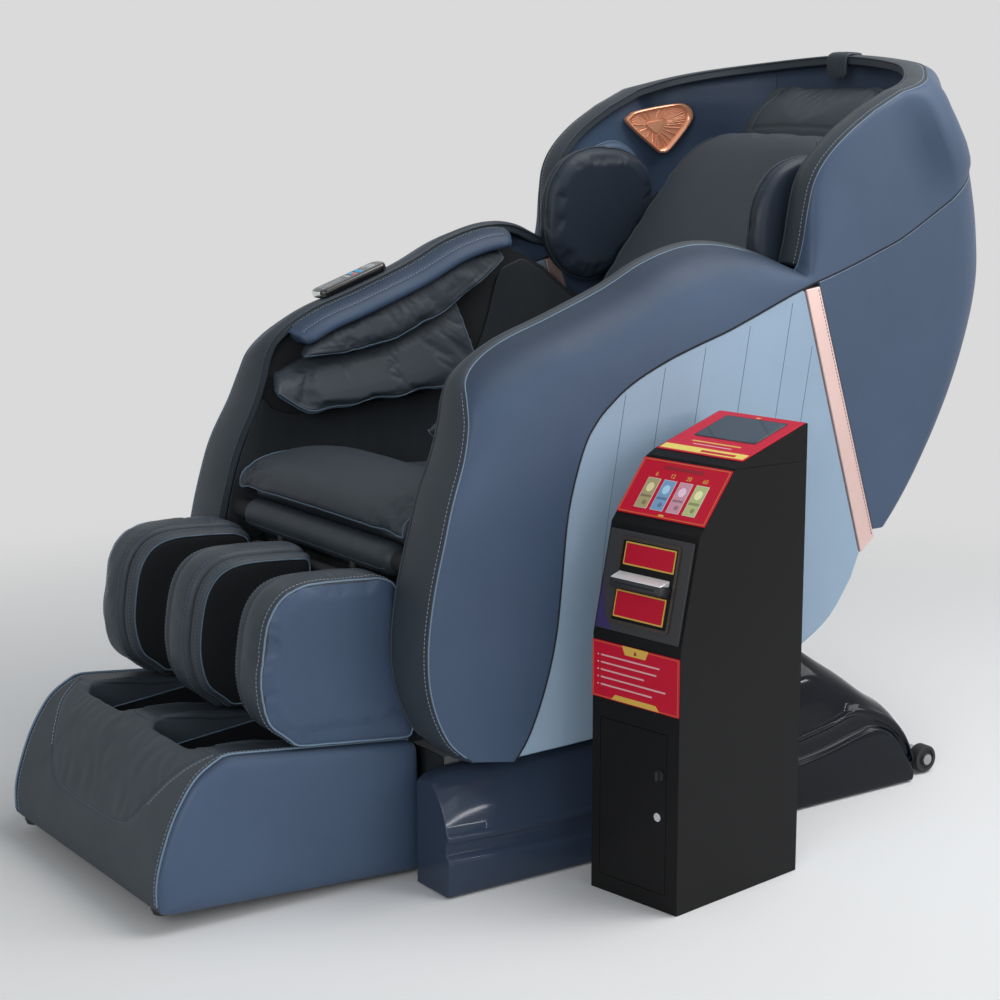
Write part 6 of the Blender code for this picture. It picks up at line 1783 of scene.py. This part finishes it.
def makeFoot():
    loop = footLoop()
    half = foot["half"]
    piece = loftPiece("footBody", ringStack(loop, [(-half, 0.0), (0.0, 0.0), (half, 0.0)]), "foot",
                      *footPlace)
    for side in (1, -1):
        rings = []
        for z, extra in ((0.071, 0.026), (0.076, 0.014), (0.085, 0.005), (0.1, 0.0), (0.3, 0.0)):
            rise = (z - foot["floor"]) / 0.23
            low, high = sorted((foot["wellIn"] * side, foot["wellOut"] * side))
            pinch = mix(foot["slope"], 0.0, rise) + extra
            rect = roundedRect(low + pinch, mix(-0.8, foot["front"], rise) + extra, high - pinch,
                               mix(-0.535, foot["back"], rise) - extra, 0.034, 7)
            rings.append([(x, y, z) for x, y in rect])
        carve(piece, rings, "well")
    remesh(piece, foot["voxel"], 7)
    wrinkle(piece, footArc, (34.0, 16.0, 22.0), 0.0022)
    path = [vec(-x, y, z) for x, y, z in reversed(footSeam[1:])] + [Vector(p) for p in footSeam]
    path = spline([tuple(p) for p in path], 5)
    groove(piece, laid(piece, path), 0.006, 0.0022)
    for low, high in ((-0.258, -0.209), (-0.026, 0.026), (0.209, 0.258)):
        row = [vec(mix(low, high, k / 8), -0.806, 0.26) for k in range(9)]
        line = laid(piece, row, 0.0, False, (0, 0, -1))
        groove(piece, line, 0.005, 0.0018)
        # a thin dark tube in the cross seam's groove: painted shade for the seam
        tube(f"footCross{low:.2f}".replace(".", "_"), laid(piece, row, -0.0002, False, (0, 0, -1)), 0.0007,
             "threadDark", *footPlace, 1, 6)
    smoothOut(piece)
    # a thin dark tube in the panel seam's groove: painted shade for the seam
    tube("footSeamShade", laid(piece, path, -0.0001), 0.0008, "threadDark", *footPlace, 1, 6)
    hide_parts("foot_rest")
    upper = [Vector(p) for p in path if p[2] > 0.165 and p[0] > 0]
    start = min(range(len(loop)), key=lambda k: dist(loop[k], (-0.914, 0.04)))
    order = loop[start:] + loop[:start]
    if order[5][1] < order[0][1]:
        order = order[:1] + order[:0:-1]
    visible = [p for p in order if p[1] > 0.034][:int(len(order) * 0.72)]
    visible = [p for p in visible if p[0] < -0.486]
    profile = [(0.2588, 0.003), (0.2596, 0.0008), (0.2612, 0.0), (0.264, 0.0003),
               (0.2668, 0.0018), (0.2694, 0.0044), (0.2714, 0.008), (0.273, 0.009, 0.965),
               (0.2742, 0.009, 0.9), (0.275, 0.009, 0.78), (0.2755, 0.009, 0.55), (0.2758, 0.009, 0.27)]
    cheek = loftPiece("footCheekLeft", ringStack(loop, profile), "slate", "foot_unit", "leather_slate")
    smoothOut(cheek)
    flipCopy(cheek, "footCheekRight", "foot_unit", "foot_side")
    for side, tag, end in sides:
        cord = [vec(0.259, y, z) for y, z in visible]
        middle = vec(0.259, -0.7, 0.13)
        cord = [p + (p - middle).normalized() * 0.0004 for p in cord]
        tube("footCord" + tag, cord, 0.0018, "piping", "foot_unit", "leather_slate", side)
        row = [vec(0.25 * side, y, z) for y, z in visible]
        stitches("footStitch" + tag, laid(piece, row, onHide["thread"]), "thread", *footPlace)
        row = [vec((abs(p.x) + 0.007) * side, p.y, p.z) for p in upper]
        stitches("footPanelStitch" + tag, laid(piece, row, onHide["thread"]), "thread", *footPlace)
        for wall, inner in ((foot["wellIn"], 1), (foot["wellOut"], -1)):
            label = f"well{'Inner' if inner > 0 else 'Outer'}{tag}"
            curve = [vec((wall + 0.003 * inner) * side, y, footTop(y) - mix(0.01, 0.052, (-0.6 - y) / 0.2))
                     for y in (mix(-0.796, -0.6, k / 14) for k in range(15))]
            tube(label + "Cord", laid(piece, curve, 0.0004), 0.0013, "pipingSoft", *footPlace, 1, 6)
            lip = [vec((wall - 0.001 * inner) * side, y, footTop(y) - 0.0035 - 0.004 * smoothStep((y + 0.73) / 0.03))
                   for y in (mix(-0.792, -0.6, k / 16) for k in range(17))]
            lipRoll = tube(label + "Lip", lip, lambda t: 0.0068 * (sin(pi * min(max(t, 0.04), 0.96)) ** 0.35),
                           "charcoal", *footPlace, 1, 14)
            smoothOut(lipRoll)
            whip = [p + vec(-0.0015 * inner * side, 0.0, 0.012) for p in lip]
            stitches(label + "Whip", laid(lipRoll, whip, 0.0002), "threadDark", *footPlace, 1,
                     0.0028, 0.003, 0.0007)
    for x in (-0.232, 0.232):
        for y, z in ((-0.893, 0.03), (-0.51, 0.011)):
            rings = [[(*p, h) for p in circle(x, y, r, r, 24)] for h, r in (
                (z - 0.01, 0.012), (z - 0.009, 0.0145), (z - 0.006, 0.015), (z - 0.003, 0.017),
                (z + 0.002, 0.017))]
            corner = ("L" if x > 0 else "R") + ("F" if y < -0.8 else "B")
            loftPiece("footGlide" + corner, rings, "rubber", "foot_unit", "rubber", 1, 35.0)


makeFoot()
print("foot unit made")

# remote on the far arm
hand = {"at": (-0.292, -0.25572, 0.85054), "tilt": 19.0, "wide": 0.042, "long": 0.142}
handTurn = Matrix.Translation(hand["at"]) @ Matrix.Rotation(radians(hand["tilt"]), 4, "X")


def keyCap(name, x, y, wide, long, low, high, look):
    rings = []
    for z, shrink in ((low, 0.0), (mix(low, high, 0.6), 0.0), (high, 0.0005)):
        rect = roundedRect(x - wide / 2 + shrink, y - long / 2 + shrink, x + wide / 2 - shrink, y + long / 2 - shrink,
                           min(wide, long) * 0.28, 3)
        rings.append([handTurn @ vec(u, v, z) for u, v in rect])
    return loftPiece(name, rings, look, *remotePlace, 1, 35.0)


def makeRemote():
    half, end = hand["wide"] / 2, hand["long"] / 2
    rings = []
    for z, shrink in ((0.0004, 0.003), (0.0012, 0.0012), (0.003, 0.0), (0.0095, 0.0), (0.0118, 0.0008),
                      (0.0132, 0.0024), (0.0136, 0.0042)):
        rings.append([handTurn @ vec(u, v, z) for u, v in
                      roundedRect(-half + shrink, -end + shrink, half - shrink, end - shrink, 0.015 - shrink, 8)])
    body = loftPiece("remoteBody", rings, "handBlack", *remotePlace, 1, 30.0)
    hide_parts("remote_control")
    keyCap("remoteFace", 0.0, -0.0005, 0.0315, 0.128, 0.0134, 0.0141, "handGrey")
    for k in range(11):
        keyCap(f"remoteRib{k}", 0.0, -0.057 + 0.0042 * k, 0.021, 0.0022, 0.014, 0.0146, "handPale")
    keyCap("remoteKeyWide", 0.0, -0.004, 0.02, 0.0075, 0.014, 0.0149, "handPale")
    for name, x, y, look in (("A", -0.0066, 0.0085, "cyan"), ("B", 0.0066, 0.0085, "keyRed"),
                             ("C", -0.0066, 0.0215, "cyan"), ("D", 0.0066, 0.0215, "cyan")):
        keyCap("remoteKey" + name, x, y, 0.0098, 0.0088, 0.014, 0.015, look)
    keyCap("remoteEndPlate", 0.0, 0.044, 0.023, 0.02, 0.014, 0.0143, "handPale")
    nose = []
    for z, grow in ((0.003, -0.0008), (0.0042, 0.0006), (0.008, 0.0009), (0.0118, 0.0004), (0.0128, -0.001)):
        ring = [(-0.0135, -0.064), (-0.0135, -0.069 - grow), (-0.0085, -0.0712 - grow), (0.0, -0.0718 - grow),
                (0.0085, -0.0712 - grow), (0.0135, -0.069 - grow), (0.0135, -0.064)]
        nose.append([handTurn @ vec(u, v, z) for u, v in ring])
    piece = loftPiece("remoteNose", nose, "chrome", *remotePlace, 1, 50.0)
    soften(piece, 0.0006, 2, 40.0)


makeRemote()
print("remote made")

# cloth inside the arms and below the apron, and a dark cloth between the base skirts that stands in for the shade
# under the chair
inside = {"x": 0.2838, "thin": 0.0022, "wave": 0.0036, "top": [
    (-0.52, 0.8), (-0.445, 0.69), (-0.425, 0.65), (-0.38, 0.634), (-0.25, 0.642), (-0.14, 0.65),
    (-0.06, 0.66), (-0.018, 0.69), (0.02, 0.76), (0.045, 0.86), (0.1, 0.88), (0.15, 0.85),
    (0.205, 0.805), (0.262, 0.78), (0.3, 0.782)]}


def armLift(y):
    # underside of the arm's edge at a place along the arm
    line = [edge + normal * edgeDepth(edge, under, normal)
            for (edge, under, into), normal in zip(armLine, armNormals)]
    near = [b.z for a, b in zip(line, line[1:])
            if min(a.y, b.y) - 0.002 <= y <= max(a.y, b.y) + 0.002 and b.z > 0.4]
    return max(near) if near else 0.6


def makeInside():
    for side, tag, end in sides:
        outer, inner = [], []
        for i in range(64):
            y = mix(-0.514, 0.29, i / 63)
            low = mix(0.3, 0.44, smoothStep((y + 0.5) / 0.06)) + 0.3 * max(y - 0.05, 0.0) / 0.24
            high = table(inside["top"], y)[0]
            if y < -0.39:
                high = min(high, armLift(y) - 0.004)
            row, back = [], []
            for j in range(26):
                z = mix(low, high, j / 25)
                fold = sin(y * 62.0 + z * 34.0 + 1.3 * sin(z * 21.0)) + 0.5 * sin(y * 131.0 - z * 47.0)
                ease = sin(pi * min(max(j / 25, 0.02), 0.98)) ** 0.5
                x = inside["x"] - 0.0034 - inside["wave"] * 0.5 * (fold * 0.5 + 0.6) * ease
                row.append(vec(x, y, z))
                back.append(vec(x + inside["thin"], y, z))
            outer.append(row)
            inner.append(back)
        piece = shellPiece("armLining" + tag, outer, inner, "liningLeather", *hidePlace, side, 0.0)
        smoothOut(piece)


def hangCloth(name, body, half, low, high, steps, place, wave, waveX, waveZ):
    # dark cloth across the seat, or across the base where it stands in for the shade under the chair, in soft upright
    # waves
    outer, inner = [], []
    for u in spread(61):
        x = half * u
        row, back = [], []
        for j in range(steps):
            z = mix(low, high, j / (steps - 1))
            y = place - wave[0] * sin(x * waveX + wave[1] * sin(z * waveZ)) * sin(pi * j / (steps - 1))
            row.append(vec(x, y, z))
            back.append(vec(x, y + 0.0022, z))
        outer.append(row)
        inner.append(back)
    return shellPiece(name, outer, inner, "liningLeather", body, "leather_charcoal", 1, 0.0)


makeInside()
smoothOut(hangCloth("frontCloth", "capsule", 0.274, 0.432, 0.548, 18, -0.444, (0.003, 2.0), 70.0, 40.0))
# the base cloth is partly a dust cover and partly painted shade: it darkens the gap under the chair front
hangCloth("shadeClothBase", "base", 0.3, 0.012, 0.192, 16, -0.456, (0.0035, 2.2), 64.0, 30.0)
print("linings made")


# plain frame parts keep their shape with a rounded edge
for node, look in (("base_frame", "steel"), ("seat_frame", "steel"), ("side_frame_left", "lining"),
                   ("side_frame_right", "lining"), ("massage_carriage", "steel"), ("legrest_frame", "darkPlastic"),
                   ("massage_head_left", "darkPlastic"), ("massage_head_right", "darkPlastic"),
                   ("remote_button", "handPale")):
    dress(node, look, 0.0008)
